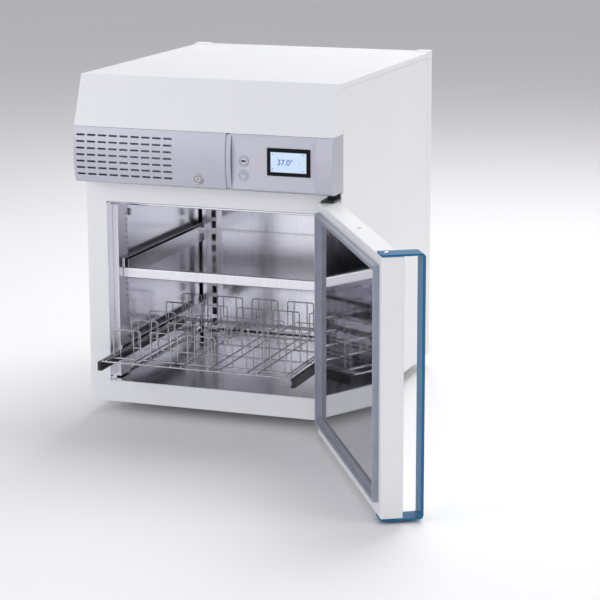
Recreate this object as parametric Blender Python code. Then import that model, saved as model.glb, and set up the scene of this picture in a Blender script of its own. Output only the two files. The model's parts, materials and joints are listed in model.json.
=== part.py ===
"""A bench laboratory incubator of about 200 litres, modelled piece by piece.

The cabinet's own coordinates are used for every shape: X to the right, Y to the back with the
front frame's face at 0, Z up with the underside of the casing at 0. One empty carries them all,
so that the finished object stands on Z = 0 with the middle of its outline over the origin.
The door stands open and the wire rack is drawn out, as the incubator is loaded.
"""
import math

import bmesh
import bpy
from mathutils import Matrix, Vector

# Driving dimensions, in metres.
GAP = 0.0003                # clearance left between two pieces that touch
SHEET = 0.0015              # folded sheet of the casing and the door
LINER_SHEET = 0.0012        # stainless sheet inside the chamber

HALF_WIDTH = 0.355
HEIGHT = 0.8785             # casing, without the feet
BACK = 0.785
FOOT_HEIGHT = 0.034
CASE_FRONT = 0.012          # front edge of the side panels
REAR_RETURN = 0.040         # side of the rear panel that is folded forward
LID_DEPTH = 0.015           # flange depth of the top, side and base panels
CORNER_RISE = 0.003         # how far the rear corners stand above the top

CHAMBER_HALF = 0.2965       # inside of the stainless chamber
CHAMBER_FLOOR = 0.0588
CHAMBER_CEILING = 0.541
CHAMBER_DEPTH = 0.690
BAFFLE_FRONT = 0.632
BAFFLE_BOTTOM = 0.062
BAFFLE_TOP = 0.538
SENSOR_X = 0.150
SENSOR_HEIGHT = 0.470
SHAFT_HOLE = 0.0060
FRAME_TOP = 0.600

HEAD_BOTTOM = 0.603
HEAD_SPLIT = 0.749          # between the silver lower head and the white fascia
HEAD_FACE = -0.0645         # flat edge of the bowed silver covers
HEAD_BOW = 0.0095           # how far their middle stands proud of that edge
HOUSING_FRONT = -0.050
FASCIA_TOP = -0.015
FASCIA_EDGE = 0.0022        # fascia sheet as seen from above
GRILLE_END = 0.0685
PANEL_START = 0.080
PLATE_END = 0.310
COVER_SHEET = 0.002         # moulded silver covers
COVER_FRONT = -0.090        # cutters for the covers start in front of them

INLET_SIDES = (0.2000, 0.2390)
SWITCH_SIDES = (0.2393, 0.2660)
MAINS_HEIGHTS = (0.6600, 0.6840)

DOOR_BOTTOM = -0.022
DOOR_TOP = 0.583
DOOR_FACE = -0.0667
DOOR_BACK = -0.0147
DOOR_OPEN = math.radians(121)
PIVOT = Vector((0.338, -0.042, 0.0))
PIN_RADIUS = 0.004
BORE_DEPTH = 0.018          # how deep the door is bored for a hinge pin
BOLT_SIDES = (-0.0115, -0.0035)
BOLT_DEPTHS = (-0.0445, -0.0365)
GASKET_HALF = 0.331
GASKET_WIDTH = 0.017
GASKET_BOTTOM = 0.012
GASKET_TOP = 0.560
HANDLE_REACH = -0.115
HANDLE_WIDTH = 0.050
HANDLE_THICKNESS = 0.007
LEG_THICKNESS = 0.005

FAN_HEIGHT = 0.300
SHELF_TOP = 0.355
SHELF_FRONT = 0.058
SHELF_BACK = 0.6115
SHELF_RIM = 0.022           # height of the upturned sides of the shelf
RACK_FRONT = -0.130
RACK_LENGTH = 0.535
RACK_HALF = 0.2605
RACK_FLOOR = 0.1438         # centre height of the rack's frame wire
WIRE_RADIUS = 0.0023
HOOP_COLUMNS = 5
HOOP_ROWS = 5
HOOP_PITCH_X = 0.105
HOOP_PITCH_Y = 0.115
HOOP_HALF = 0.038
HOOP_RISE = 0.075
RUNNER_LENGTH = 0.560
STANDARD_DEPTH = 0.0157
RAIL_OUTSIDE = CHAMBER_HALF - STANDARD_DEPTH - 2 * GAP      # runners lie against the standards
RAIL_BACK = 0.6117

FINISHES = {
    "white coat": ((0.82, 0.82, 0.83), 0.35, 0.0),
    "silver coat": ((0.55, 0.55, 0.58), 0.35, 0.6),
    "stainless": ((0.60, 0.60, 0.61), 0.18, 1.0),
    "chrome": ((0.75, 0.75, 0.76), 0.08, 1.0),
    "black steel": ((0.02, 0.02, 0.02), 0.35, 0.6),
    "black plastic": ((0.03, 0.03, 0.035), 0.45, 0.0),
    "blue coat": ((0.01, 0.22, 0.45), 0.35, 0.0),
    "gasket": ((0.36, 0.39, 0.47), 0.60, 0.0),
    "foam": ((0.80, 0.75, 0.55), 0.90, 0.0),
    "glass": ((0.55, 0.70, 0.85), 0.10, 0.0),
    "rubber": ((0.03, 0.03, 0.03), 0.80, 0.0),
    "board": ((0.02, 0.20, 0.08), 0.50, 0.0),
}


# Shapes. Each function returns a bmesh in the cabinet's coordinates.

def ring_of_points(shape, profile, axis, place):
    """Adds the profile's points across an axis: its two numbers are the other two coordinates."""
    order = {"X": (2, 0, 1), "Y": (0, 2, 1), "Z": (0, 1, 2)}[axis]
    points = []
    for first, second in profile:
        values = (first, second, place)
        points.append(shape.verts.new([values[index] for index in order]))
    return points


def prism(profile, axis, start, stop):
    """A closed prism between two places on an axis."""
    shape = bmesh.new()
    near = ring_of_points(shape, profile, axis, start)
    far = ring_of_points(shape, profile, axis, stop)
    shape.faces.new(near)
    shape.faces.new(far)
    for index, point in enumerate(near):
        following = (index + 1) % len(near)
        shape.faces.new((point, near[following], far[following], far[index]))
    bmesh.ops.recalc_face_normals(shape, faces=shape.faces)
    return shape


def ring_prism(outer, inner, axis, start, stop):
    """A closed ring between two outlines that have the same number of points."""
    shape = bmesh.new()
    loops = []
    for profile, place in ((outer, start), (outer, stop), (inner, stop), (inner, start)):
        loops.append(ring_of_points(shape, profile, axis, place))
    for loop, next_loop in zip(loops, loops[1:] + loops[:1]):
        for index in range(len(outer)):
            following = (index + 1) % len(outer)
            corners = (loop[index], loop[following], next_loop[following], next_loop[index])
            shape.faces.new(corners)
    bmesh.ops.recalc_face_normals(shape, faces=shape.faces)
    return shape


def rectangle(low_a, low_b, high_a, high_b):
    return [(low_a, low_b), (high_a, low_b), (high_a, high_b), (low_a, high_b)]


def box(low, high):
    return prism(rectangle(low[0], low[1], high[0], high[1]), "Z", low[2], high[2])


def tray(low, high, open_side, wall):
    """A folded tray: a box sunk from one side, which leaves walls of one thickness."""
    shape = box(low, high)
    direction = Vector({"-Y": (0, -1, 0), "+Y": (0, 1, 0), "+Z": (0, 0, 1), "-Z": (0, 0, -1),
                        "+X": (1, 0, 0), "-X": (-1, 0, 0)}[open_side])
    shape.faces.ensure_lookup_table()
    mouth = max(shape.faces, key=lambda face: face.normal.dot(direction))
    depth = abs((Vector(high) - Vector(low)).dot(direction)) - wall
    bmesh.ops.inset_region(shape, faces=[mouth], thickness=wall, use_even_offset=True)
    sunk = bmesh.ops.extrude_discrete_faces(shape, faces=[mouth])["faces"][0]
    bmesh.ops.translate(shape, verts=sunk.verts, vec=-direction * depth)
    return shape


def turned(profile, axis, centre, sides=32):
    """A turned piece: (radius, place along the axis) points, spun about the axis."""
    shape = bmesh.new()
    points = [shape.verts.new((radius, 0, place)) for radius, place in profile]
    edges = []
    for point, following in zip(points, points[1:] + points[:1]):
        edges.append(shape.edges.new((point, following)))
    bmesh.ops.spin(shape, geom=points + edges, cent=(0, 0, 0), axis=(0, 0, 1),
                   angle=2 * math.pi, steps=sides, use_merge=True)
    bmesh.ops.remove_doubles(shape, verts=shape.verts, dist=1e-6)
    on_axis = [edge for edge in shape.edges if all(v.co.xy.length < 1e-7 for v in edge.verts)]
    bmesh.ops.delete(shape, geom=on_axis, context="EDGES")
    bmesh.ops.recalc_face_normals(shape, faces=shape.faces)
    turn = {"X": Matrix.Rotation(math.pi / 2, 4, "Y"), "Y": Matrix.Rotation(-math.pi / 2, 4, "X"),
            "Z": Matrix.Identity(4)}[axis]
    bmesh.ops.transform(shape, verts=shape.verts, matrix=Matrix.Translation(centre) @ turn)
    return shape


def disc(radius, start, stop, axis, centre, sides=32):
    return turned([(0, start), (radius, start), (radius, stop), (0, stop)], axis, centre, sides)


def tube(inner, outer, start, stop, axis, centre, sides=32):
    return turned(rectangle(inner, start, outer, stop), axis, centre, sides)


def together(shapes):
    """Several shapes in one mesh, for a cutter or for pieces that a union joins."""
    whole = bmesh.new()
    for shape in shapes:
        mesh = bpy.data.meshes.new("loose")
        shape.to_mesh(mesh)
        shape.free()
        whole.from_mesh(mesh)
        bpy.data.meshes.remove(mesh)
    return whole


# Objects.

def empty(name, parent=None, location=(0, 0, 0), turn=(0, 0, 0)):
    holder = bpy.data.objects.new(name, None)
    bpy.context.collection.objects.link(holder)
    holder.parent = parent
    holder.location = location
    holder.rotation_euler = turn
    return holder


def finish(name, kind):
    colour, roughness, metallic = FINISHES[kind]
    material = bpy.data.materials.new(name + "_finish")
    material.use_nodes = True
    shader = material.node_tree.nodes["Principled BSDF"]
    shader.inputs["Base Color"].default_value = (*colour, 1)
    shader.inputs["Roughness"].default_value = roughness
    shader.inputs["Metallic"].default_value = metallic
    return material


def link_mesh(name, shape, parent, round_shape=False):
    """An object under a parent whose shape stays in the cabinet's coordinates."""
    mesh = bpy.data.meshes.new(name)
    shape.to_mesh(mesh)
    shape.free()
    if round_shape:
        mesh.shade_smooth()
        mesh.set_sharp_from_angle(angle=math.radians(35))
    piece = bpy.data.objects.new(name, mesh)
    bpy.context.collection.objects.link(piece)
    piece.parent = parent
    piece.location = AXIS_PLACES.get(parent.name, Vector((0, 0, 0))) * -1
    return piece


def piece(name, shape, kind, parent=None, cuts=(), joins=(), round_shape=False):
    """One sub-part, with its finish and the shapes that are cut from it or joined to it."""
    parent = parent or incubator
    made = link_mesh(name, shape, parent, round_shape)
    made.data.materials.append(finish(name, kind))
    for operation, tools in (("DIFFERENCE", cuts), ("UNION", joins)):
        for number, tool in enumerate(tools):
            guide = link_mesh(f"{name}_{operation.lower()}_{number}", tool, parent)
            guide.hide_render = True
            guide.display_type = "WIRE"
            step = made.modifiers.new(f"{operation.title()} {number}", "BOOLEAN")
            step.operation = operation
            step.solver = "EXACT"
            step.object = guide
    return made


for old in list(bpy.data.objects):
    bpy.data.objects.remove(old)

AXIS_PLACES = {
    "door_hinge_axis": PIVOT,
    "rocker_axis": Vector((0.2530, 0.778, 0.672)),
    "lock_axis": Vector((-0.0075, 0, 0.628)),
    "fan_axis": Vector((0, 0, FAN_HEIGHT)),
}
ROCKER_REST = math.radians(-8)

incubator = empty("incubator", location=(0, 0, FOOT_HEIGHT))
hinge_axis = empty("door_hinge_axis", incubator, PIVOT, (0, 0, DOOR_OPEN))
rocker_axis = empty("rocker_axis", incubator, AXIS_PLACES["rocker_axis"], (ROCKER_REST, 0, 0))
lock_axis = empty("lock_axis", incubator, AXIS_PLACES["lock_axis"])
fan_axis = empty("fan_axis", incubator, AXIS_PLACES["fan_axis"])


# Casing: folded sheets round a stiff front frame.

def build_casing():
    flange_inside = HALF_WIDTH - LID_DEPTH
    lid_bottom = HEIGHT - LID_DEPTH
    rear_front = BACK - REAR_RETURN
    for side, name in ((-1, "left"), (1, "right")):
        edges = sorted((side * flange_inside, side * HALF_WIDTH))
        piece(f"side_panel_{name}",
              tray((edges[0], CASE_FRONT, 0), (edges[1], rear_front - GAP, lid_bottom - GAP),
                   "+X" if side < 0 else "-X", SHEET), "white coat")
    piece("top_panel",
          tray((-HALF_WIDTH, FASCIA_TOP + FASCIA_EDGE + GAP, lid_bottom),
               (HALF_WIDTH, rear_front - GAP, HEIGHT), "-Z", SHEET), "white coat")
    corners = []
    for side in (-1, 1):
        edges = sorted((side * (HALF_WIDTH - REAR_RETURN), side * HALF_WIDTH))
        corners.append(box((edges[0], rear_front, HEIGHT - SHEET / 2),
                           (edges[1], BACK, HEIGHT + CORNER_RISE)))
    mains_hole = box((INLET_SIDES[0] - GAP, rear_front, MAINS_HEIGHTS[0] - GAP),
                     (SWITCH_SIDES[1] + GAP, BACK + LID_DEPTH, MAINS_HEIGHTS[1] + GAP))
    piece("rear_panel", tray((-HALF_WIDTH, rear_front, 0), (HALF_WIDTH, BACK, HEIGHT), "-Y", SHEET),
          "white coat", cuts=[mains_hole], joins=[together(corners)])
    piece("base_pan",
          tray((-flange_inside + GAP, CASE_FRONT, 0),
               (flange_inside - GAP, rear_front - GAP, LID_DEPTH), "+Z", SHEET), "white coat")
    opening = rectangle(-CHAMBER_HALF - SHEET, CHAMBER_FLOOR - SHEET,
                        CHAMBER_HALF + SHEET, CHAMBER_CEILING + SHEET)
    outline = rectangle(-HALF_WIDTH, 0, HALF_WIDTH, FRAME_TOP)
    piece("front_frame", ring_prism(outline, opening, "Y", 0, CASE_FRONT - GAP), "white coat")


def build_feet():
    sole, widest, neck = 0.018, 0.021, 0.016
    bevel = 0.004
    across = 0.285
    foot_profile = [(0, -FOOT_HEIGHT), (sole, -FOOT_HEIGHT), (widest, bevel - FOOT_HEIGHT),
                    (neck, -GAP), (0, -GAP)]
    for depth, depth_name in ((0.150, "front"), (0.700, "rear")):
        for side, side_name in ((-1, "left"), (1, "right")):
            piece(f"foot_{depth_name}_{side_name}",
                  turned(foot_profile, "Z", (side * across, depth, 0), 24), "rubber",
                  round_shape=True)


# Chamber: stainless liner in its insulation, with the fan, heater and air baffle at the back.

def build_chamber():
    outside = CHAMBER_HALF + LINER_SHEET
    liner_back = CHAMBER_DEPTH + LINER_SHEET
    jacket_half, jacket_low, jacket_high = 0.335, 0.020, 0.592
    fan_centre = (0, 0, FAN_HEIGHT)
    shaft_hole = disc(SHAFT_HOLE, BAFFLE_FRONT, BACK, "Y", fan_centre, 24)
    piece("chamber_liner",
          tray((-outside, GAP, CHAMBER_FLOOR - LINER_SHEET),
               (outside, liner_back, CHAMBER_CEILING + LINER_SHEET), "-Y", LINER_SHEET),
          "stainless", cuts=[shaft_hole])
    pocket = box((-outside - GAP, -CASE_FRONT, CHAMBER_FLOOR - LINER_SHEET - GAP),
                 (outside + GAP, liner_back + GAP, CHAMBER_CEILING + LINER_SHEET + GAP))
    insulation_back = BACK - REAR_RETURN - 0.010
    shaft_way = disc(SHAFT_HOLE, BAFFLE_FRONT, BACK, "Y", fan_centre, 24)
    piece("insulation_jacket",
          box((-jacket_half, CASE_FRONT, jacket_low), (jacket_half, insulation_back, jacket_high)),
          "foam", cuts=[pocket, shaft_way])

    baffle_half = 0.290
    baffle_back = BAFFLE_FRONT + LINER_SHEET
    slot_half, slot_rise, slot_pitch = 0.050, 0.005, 0.025
    lowest_slot = FAN_HEIGHT - 0.062
    sensor_centre = (SENSOR_X, 0, SENSOR_HEIGHT)
    slots = []
    for row in range(5):
        height = lowest_slot + row * slot_pitch
        slots.append(box((-slot_half, BAFFLE_FRONT - SHEET, height - slot_rise),
                         (slot_half, baffle_back + SHEET, height + slot_rise)))
    slots.append(disc(0.005, BAFFLE_FRONT - SHEET, baffle_back + SHEET, "Y", sensor_centre, 16))
    piece("air_baffle",
          box((-baffle_half, BAFFLE_FRONT, BAFFLE_BOTTOM), (baffle_half, baffle_back, BAFFLE_TOP)),
          "stainless", cuts=[together(slots)])
    sensor_tip = 0.585
    piece("temperature_sensor",
          disc(0.003, sensor_tip, CHAMBER_DEPTH - GAP, "Y", sensor_centre, 16),
          "chrome", round_shape=True)

    motor_front = insulation_back + GAP
    motor_back = BACK - 0.012
    motor_radius = 0.040
    bearing = PIN_RADIUS + GAP
    shaft_end = motor_front + 0.014
    motor = [(0, shaft_end + GAP), (bearing, shaft_end + GAP), (bearing, motor_front),
             (motor_radius, motor_front), (motor_radius, motor_back), (0, motor_back)]
    piece("fan_motor", turned(motor, "Y", fan_centre), "black steel", round_shape=True)

    wheel_front, wheel_back, boss_back = 0.645, 0.675, 0.685
    cap, rim, boss = 0.030, 0.070, 0.010
    wheel = [(0, wheel_front), (cap, wheel_front), (cap, wheel_back - 0.005),
             (rim, wheel_back - 0.002), (rim, wheel_back), (boss, wheel_back),
             (boss, boss_back), (PIN_RADIUS, boss_back), (PIN_RADIUS, shaft_end), (0, shaft_end)]
    blade_half = 0.001
    blade_count = 8
    blades = []
    for number in range(blade_count):
        blade = box((cap - 0.002, wheel_front, -blade_half), (rim - 0.001, wheel_back - 0.001, blade_half))
        turn = Matrix.Rotation(number * 2 * math.pi / blade_count, 4, "Y")
        shift = Matrix.Translation((0, 0, FAN_HEIGHT))
        bmesh.ops.transform(blade, verts=blade.verts, matrix=shift @ turn)
        blades.append(blade)
    piece("fan_impeller", turned(wheel, "Y", fan_centre), "black plastic", fan_axis,
          joins=[together(blades)], round_shape=True)


def build_heater():
    """A tubular heater bent round the impeller, both ends turned back to the liner."""
    radius = 0.095
    depth = 0.660
    first_angle, whole_turn = -75, 330
    steps = 28
    points = []
    for step in range(steps + 1):
        angle = math.radians(first_angle + step * whole_turn / steps)
        points.append((radius * math.cos(angle), depth, FAN_HEIGHT + radius * math.sin(angle)))
    ends = CHAMBER_DEPTH - GAP
    points.insert(0, (points[0][0], ends, points[0][2]))
    points.append((points[-1][0], ends, points[-1][2]))
    route = bpy.data.curves.new("heating_element", "CURVE")
    route.dimensions = "3D"
    route.bevel_depth = 0.004
    route.bevel_resolution = 2
    route.use_fill_caps = True
    line = route.splines.new("POLY")
    line.points.add(len(points) - 1)
    for point, place in zip(line.points, points):
        point.co = (*place, 1)
    heater = bpy.data.objects.new("heating_element", route)
    bpy.context.collection.objects.link(heater)
    heater.parent = incubator
    heater.data.materials.append(finish("heating_element", "black steel"))


# Shelf standards, the shelf on its runners, and the wire rack on its telescopic rails.

def build_standards():
    wall = CHAMBER_HALF - GAP
    front_low, front_high = 0.032, 0.092
    rear_inside, rear_outside, rear_face = 0.236, 0.270, 0.612
    screw_length, screw_radius, screw_bevel = 0.008, 0.0090, 0.0015
    screw_depth, screw_height = 0.130, 0.493
    for side, name in ((-1, "left"), (1, "right")):
        edges = sorted((side * wall, side * (wall - STANDARD_DEPTH)))
        piece(f"front_standard_{name}",
              tray((edges[0], front_low, CHAMBER_FLOOR + GAP),
                   (edges[1], front_high, CHAMBER_CEILING - GAP),
                   "-X" if side < 0 else "+X", LINER_SHEET), "stainless")
        edges = sorted((side * rear_inside, side * rear_outside))
        piece(f"rear_standard_{name}",
              tray((edges[0], rear_face, BAFFLE_BOTTOM), (edges[1], BAFFLE_FRONT - GAP, BAFFLE_TOP),
                   "+Y", LINER_SHEET), "stainless")
        screw = [(0, 0), (screw_radius, 0), (screw_radius, 0.006),
                 (screw_radius - screw_bevel, screw_length), (0, screw_length)]
        base = -wall if side < 0 else wall - screw_length
        centre = (base, screw_depth, screw_height)
        if side > 0:
            screw = [(radius, screw_length - place) for radius, place in reversed(screw)]
        piece(f"thumb_screw_{name}", turned(screw, "X", centre, 24), "chrome", round_shape=True)


def mirrored(profile, side):
    return [(side * across, height) for across, height in profile]


def build_shelf():
    plate_bottom = SHELF_TOP - SHEET
    angle = 0.003
    ledge = 0.255
    ledge_top = plate_bottom - GAP
    runner_top = SHELF_TOP + SHELF_RIM + 0.003
    runner = [(RAIL_OUTSIDE, ledge_top - angle), (ledge, ledge_top - angle), (ledge, ledge_top),
              (RAIL_OUTSIDE - angle, ledge_top), (RAIL_OUTSIDE - angle, runner_top),
              (RAIL_OUTSIDE, runner_top)]
    for side, name in ((-1, "left"), (1, "right")):
        piece(f"shelf_runner_{name}",
              prism(mirrored(runner, side), "Y", SHELF_FRONT + angle, RAIL_BACK), "stainless")
    rim = 0.2665
    rim_top = SHELF_TOP + SHELF_RIM
    sheet = [(-rim, plate_bottom), (rim, plate_bottom), (rim, rim_top), (rim - SHEET, rim_top),
             (rim - SHEET, SHELF_TOP), (SHEET - rim, SHELF_TOP), (SHEET - rim, rim_top),
             (-rim, rim_top)]
    lip_half, lip_drop, lip_rise, lip_sheet = 0.279, 0.027, 0.0005, 0.002
    lip = box((-lip_half, SHELF_FRONT, SHELF_TOP - lip_drop),
              (lip_half, SHELF_FRONT + lip_sheet, SHELF_TOP + lip_rise))
    piece("upper_shelf", prism(sheet, "Y", SHELF_FRONT + SHEET, SHELF_BACK), "stainless", joins=[lip])


def wire(points, radius=WIRE_RADIUS):
    """A square-sided wire along a bent line that lies in one upright plane or along Y."""
    shape = bmesh.new()
    points = [Vector(point) for point in points]
    rings = []
    for index, point in enumerate(points):
        ahead = (points[min(index + 1, len(points) - 1)] - point).normalized()
        behind = (point - points[max(index - 1, 0)]).normalized()
        along = (ahead + behind).normalized()
        flat = Vector((0, 1, 0)) if abs(along.y) < 0.5 else Vector((1, 0, 0))
        lift = along.cross(flat).normalized()
        stretch = 1 / max(0.5, along.dot(ahead if ahead.length else behind))
        corners = []
        for turn in (45, 135, 225, 315):
            across = flat * math.cos(math.radians(turn)) + lift * math.sin(math.radians(turn)) * stretch
            corners.append(shape.verts.new(point + across * radius * math.sqrt(2)))
        rings.append(corners)
    shape.faces.new(rings[0])
    shape.faces.new(rings[-1])
    for ring, next_ring in zip(rings, rings[1:]):
        for index in range(4):
            following = (index + 1) % 4
            shape.faces.new((ring[index], ring[following], next_ring[following], next_ring[index]))
    bmesh.ops.recalc_face_normals(shape, faces=shape.faces)
    return shape


def build_rack():
    rack_back = RACK_FRONT + RACK_LENGTH
    edge = RACK_HALF - WIRE_RADIUS
    columns = [(number - (HOOP_COLUMNS - 1) / 2) * HOOP_PITCH_X for number in range(HOOP_COLUMNS)]
    first_row = RACK_FRONT + 0.050
    rows = [first_row + number * HOOP_PITCH_Y for number in range(HOOP_ROWS)]
    end_wire = 0.004
    cross_radius = WIRE_RADIUS * 1.1
    hoop_radius = WIRE_RADIUS * 0.8
    lengthwise = []
    for x in [-edge, edge] + [column + side * HOOP_HALF for column in columns for side in (-1, 1)]:
        lengthwise.append(wire([(x, RACK_FRONT, RACK_FLOOR), (x, rack_back, RACK_FLOOR)]))
    crosswise = []
    low = RACK_FLOOR - WIRE_RADIUS * 0.8
    for y in [RACK_FRONT + end_wire, rack_back - end_wire]:
        crosswise.append(wire([(-RACK_HALF, y, low), (RACK_HALF, y, low)], cross_radius))
    hoops = []
    for row in rows:
        crosswise.append(wire([(-RACK_HALF, row, low), (RACK_HALF, row, low)], cross_radius))
        for column in columns:
            left, right = column - HOOP_HALF, column + HOOP_HALF
            top = RACK_FLOOR + HOOP_RISE
            foot = RACK_FLOOR + WIRE_RADIUS * 0.3
            hoops.append(wire([(left, row, foot), (left, row, top), (right, row, top),
                               (right, row, foot)], hoop_radius))
    piece("wire_rack", together(lengthwise), "chrome", joins=[together(crosswise), together(hoops)])
    rail_low, rail_high, flange = 0.111, 0.147, 0.002
    web, lip = RAIL_OUTSIDE - 0.003, RAIL_OUTSIDE - 0.0057
    rail = [(RAIL_OUTSIDE, rail_low), (lip, rail_low), (lip, rail_low + flange),
            (web, rail_low + flange), (web, rail_high - flange), (lip, rail_high - flange),
            (lip, rail_high), (RAIL_OUTSIDE, rail_high)]
    rail_front = 0.0325
    runner_sides, runner_heights = (0.2625, 0.2742), (0.117, 0.141)
    start = RACK_FRONT + 0.002
    for side, name in ((-1, "left"), (1, "right")):
        piece(f"rack_rail_{name}", prism(mirrored(rail, side), "Y", rail_front, RAIL_BACK),
              "stainless")
        edges = sorted((side * runner_sides[0], side * runner_sides[1]))
        piece(f"rack_runner_{name}",
              box((edges[0], start, runner_heights[0]),
                  (edges[1], start + RUNNER_LENGTH, runner_heights[1])), "black steel")


# Door: a white shell filled with foam, a mirror-bright inner sheet, a gasket and a bent strip handle.

def build_door():
    shell_low = (-HALF_WIDTH, DOOR_FACE, DOOR_BOTTOM)
    shell_high = (HALF_WIDTH, DOOR_BACK, DOOR_TOP)
    hollow = box((SHEET - HALF_WIDTH, DOOR_FACE + SHEET, DOOR_BOTTOM + SHEET),
                 (HALF_WIDTH - SHEET, DOOR_BACK - SHEET, DOOR_TOP - SHEET))
    seam = 0.0002
    beyond = 0.010
    panel_half = GASKET_HALF - GASKET_WIDTH - seam
    panel_low, panel_high = GASKET_BOTTOM + GASKET_WIDTH, GASKET_TOP - GASKET_WIDTH
    window = box((-panel_half, DOOR_BACK - beyond, panel_low),
                 (panel_half, DOOR_BACK + beyond, panel_high))
    bores = []
    for low, high in ((DOOR_TOP - BORE_DEPTH, DOOR_TOP + beyond),
                      (DOOR_BOTTOM - beyond, DOOR_BOTTOM + BORE_DEPTH)):
        bores.append(disc(PIN_RADIUS + 2 * GAP, low, high, "Z", PIVOT))
    margin = 0.0015
    keeper_depth = 0.014
    keeper = box((BOLT_SIDES[0] - margin, BOLT_DEPTHS[0] - margin, DOOR_TOP - keeper_depth),
                 (BOLT_SIDES[1] + margin, BOLT_DEPTHS[1] + margin, DOOR_TOP + beyond))
    holes = together(bores + [keeper])
    piece("door_outer_shell", box(shell_low, shell_high), "white coat", hinge_axis,
          cuts=[hollow, window, holes.copy()])
    inset = SHEET + GAP
    piece("door_insulation",
          box((inset - HALF_WIDTH, DOOR_FACE + inset, DOOR_BOTTOM + inset),
              (HALF_WIDTH - inset, DOOR_BACK - inset, DOOR_TOP - inset)),
          "foam", hinge_axis, cuts=[holes])
    piece("door_inner_panel",
          box((GAP - panel_half, DOOR_BACK - SHEET, panel_low + GAP),
              (panel_half - GAP, DOOR_BACK - GAP, panel_high - GAP)), "stainless", hinge_axis)
    outline = rectangle(-GASKET_HALF, GASKET_BOTTOM, GASKET_HALF, GASKET_TOP)
    inner_half = GASKET_HALF - GASKET_WIDTH
    inside = rectangle(-inner_half, panel_low, inner_half, panel_high)
    piece("door_gasket", ring_prism(outline, inside, "Y", DOOR_BACK + GAP, -GAP), "gasket", hinge_axis)
    top, bottom = DOOR_TOP + GAP, DOOR_BOTTOM - GAP
    bar_inside = HANDLE_REACH + HANDLE_THICKNESS
    strip = [(DOOR_BACK, top + LEG_THICKNESS), (HANDLE_REACH, top + LEG_THICKNESS),
             (HANDLE_REACH, bottom - LEG_THICKNESS), (DOOR_BACK, bottom - LEG_THICKNESS),
             (DOOR_BACK, bottom), (bar_inside, bottom), (bar_inside, top), (DOOR_BACK, top)]
    piece("door_handle", prism(strip, "X", -HALF_WIDTH, HANDLE_WIDTH - HALF_WIDTH), "blue coat",
          hinge_axis)
    screw_centre = Vector((HANDLE_WIDTH / 2 - HALF_WIDTH, -0.030, 0))
    wide, narrow = 0.0060, 0.0045
    shoulder, crown = 0.0025, 0.0030
    head = top + LEG_THICKNESS + GAP
    screw = [(0, head), (wide, head), (narrow, head + shoulder), (0, head + crown)]
    piece("handle_screw_top", turned(screw, "Z", screw_centre, 24), "chrome", hinge_axis,
          round_shape=True)
    head = bottom - LEG_THICKNESS - GAP
    screw = [(0, head - crown), (narrow, head - shoulder), (wide, head), (0, head)]
    piece("handle_screw_bottom", turned(screw, "Z", screw_centre, 24), "chrome", hinge_axis,
          round_shape=True)


def build_hinges():
    """Two fixed brackets on the cabinet, each with its pin pressed in and standing into the door."""
    near = PIVOT.y - 0.012
    left, right = 0.318, 0.352
    plate, upright, heel = 0.005, 0.003, 0.045
    pin_depth = BORE_DEPTH - 0.002
    upper = DOOR_TOP + 2 * GAP
    profile = [(near, upper), (-GAP, upper), (-GAP, FRAME_TOP), (-GAP - upright, FRAME_TOP),
               (-GAP - upright, upper + plate), (near, upper + plate)]
    pin = disc(PIN_RADIUS, DOOR_TOP - pin_depth, upper + plate / 2, "Z", PIVOT)
    piece("hinge_bracket_upper", prism(profile, "X", left, right), "black steel", joins=[pin])
    lower = DOOR_BOTTOM - 2 * GAP
    profile = [(near, lower - plate), (heel, lower - plate), (heel, -GAP), (GAP, -GAP),
               (GAP, lower), (near, lower)]
    pin = disc(PIN_RADIUS, lower - plate / 2, DOOR_BOTTOM + pin_depth, "Z", PIVOT)
    piece("hinge_bracket_lower", prism(profile, "X", left, right), "black steel", joins=[pin])


# Head: the white sloping fascia over a silver housing with the bowed grille and the control panel.

def bowed_profile(offset, back):
    """The bowed front of the silver covers, from above to below, with a rounded lower edge."""
    seam, round_edge = 0.0008, 0.006
    top, bottom = HEAD_SPLIT - seam - offset, HEAD_BOTTOM + GAP + offset
    shoulder = bottom + round_edge
    middle, half = (top + shoulder) / 2, (top - shoulder) / 2
    points = [(back, top)]
    steps = 8
    for step in range(steps + 1):
        height = top - (top - shoulder) * step / steps
        bow = HEAD_BOW * (1 - ((height - middle) / half) ** 2)
        points.append((HEAD_FACE - bow + offset, height))
    points.append((HEAD_FACE + round_edge + offset, bottom))
    points.append((back, bottom))
    return points


def build_head():
    top_edge = FASCIA_TOP + FASCIA_EDGE
    lower_edge = HEAD_FACE - SHEET
    fascia_back = CASE_FRONT - GAP
    under_lid = HEIGHT - LID_DEPTH - GAP
    slope_outline = [(FASCIA_TOP, HEIGHT), (lower_edge, HEAD_SPLIT), (fascia_back, HEAD_SPLIT),
                     (fascia_back, under_lid), (top_edge, under_lid), (top_edge, HEIGHT)]
    lean = (lower_edge - FASCIA_TOP) / (HEIGHT - HEAD_SPLIT)
    beyond = 0.020
    above, below, behind = HEIGHT + beyond, HEAD_SPLIT - beyond, fascia_back + beyond
    inside = [(top_edge + lean * (HEIGHT - above), above),
              (top_edge + lean * (HEIGHT - below), below), (behind, below), (behind, above)]
    cheek = HALF_WIDTH - SHEET
    piece("head_fascia", prism(slope_outline, "X", -HALF_WIDTH, HALF_WIDTH), "white coat",
          cuts=[prism(inside, "X", -cheek, cheek)])
    margin = 0.0005
    bolt_hole = box((BOLT_SIDES[0] - margin, BOLT_DEPTHS[0] - margin, HEAD_BOTTOM - beyond),
                    (BOLT_SIDES[1] + margin, BOLT_DEPTHS[1] + margin, HEAD_BOTTOM + 2 * SHEET))
    piece("head_housing",
          tray((-HALF_WIDTH, HOUSING_FRONT, HEAD_BOTTOM),
               (HALF_WIDTH, fascia_back, HEAD_SPLIT - GAP), "-Y", SHEET),
          "silver coat", cuts=[bolt_hole])


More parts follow.
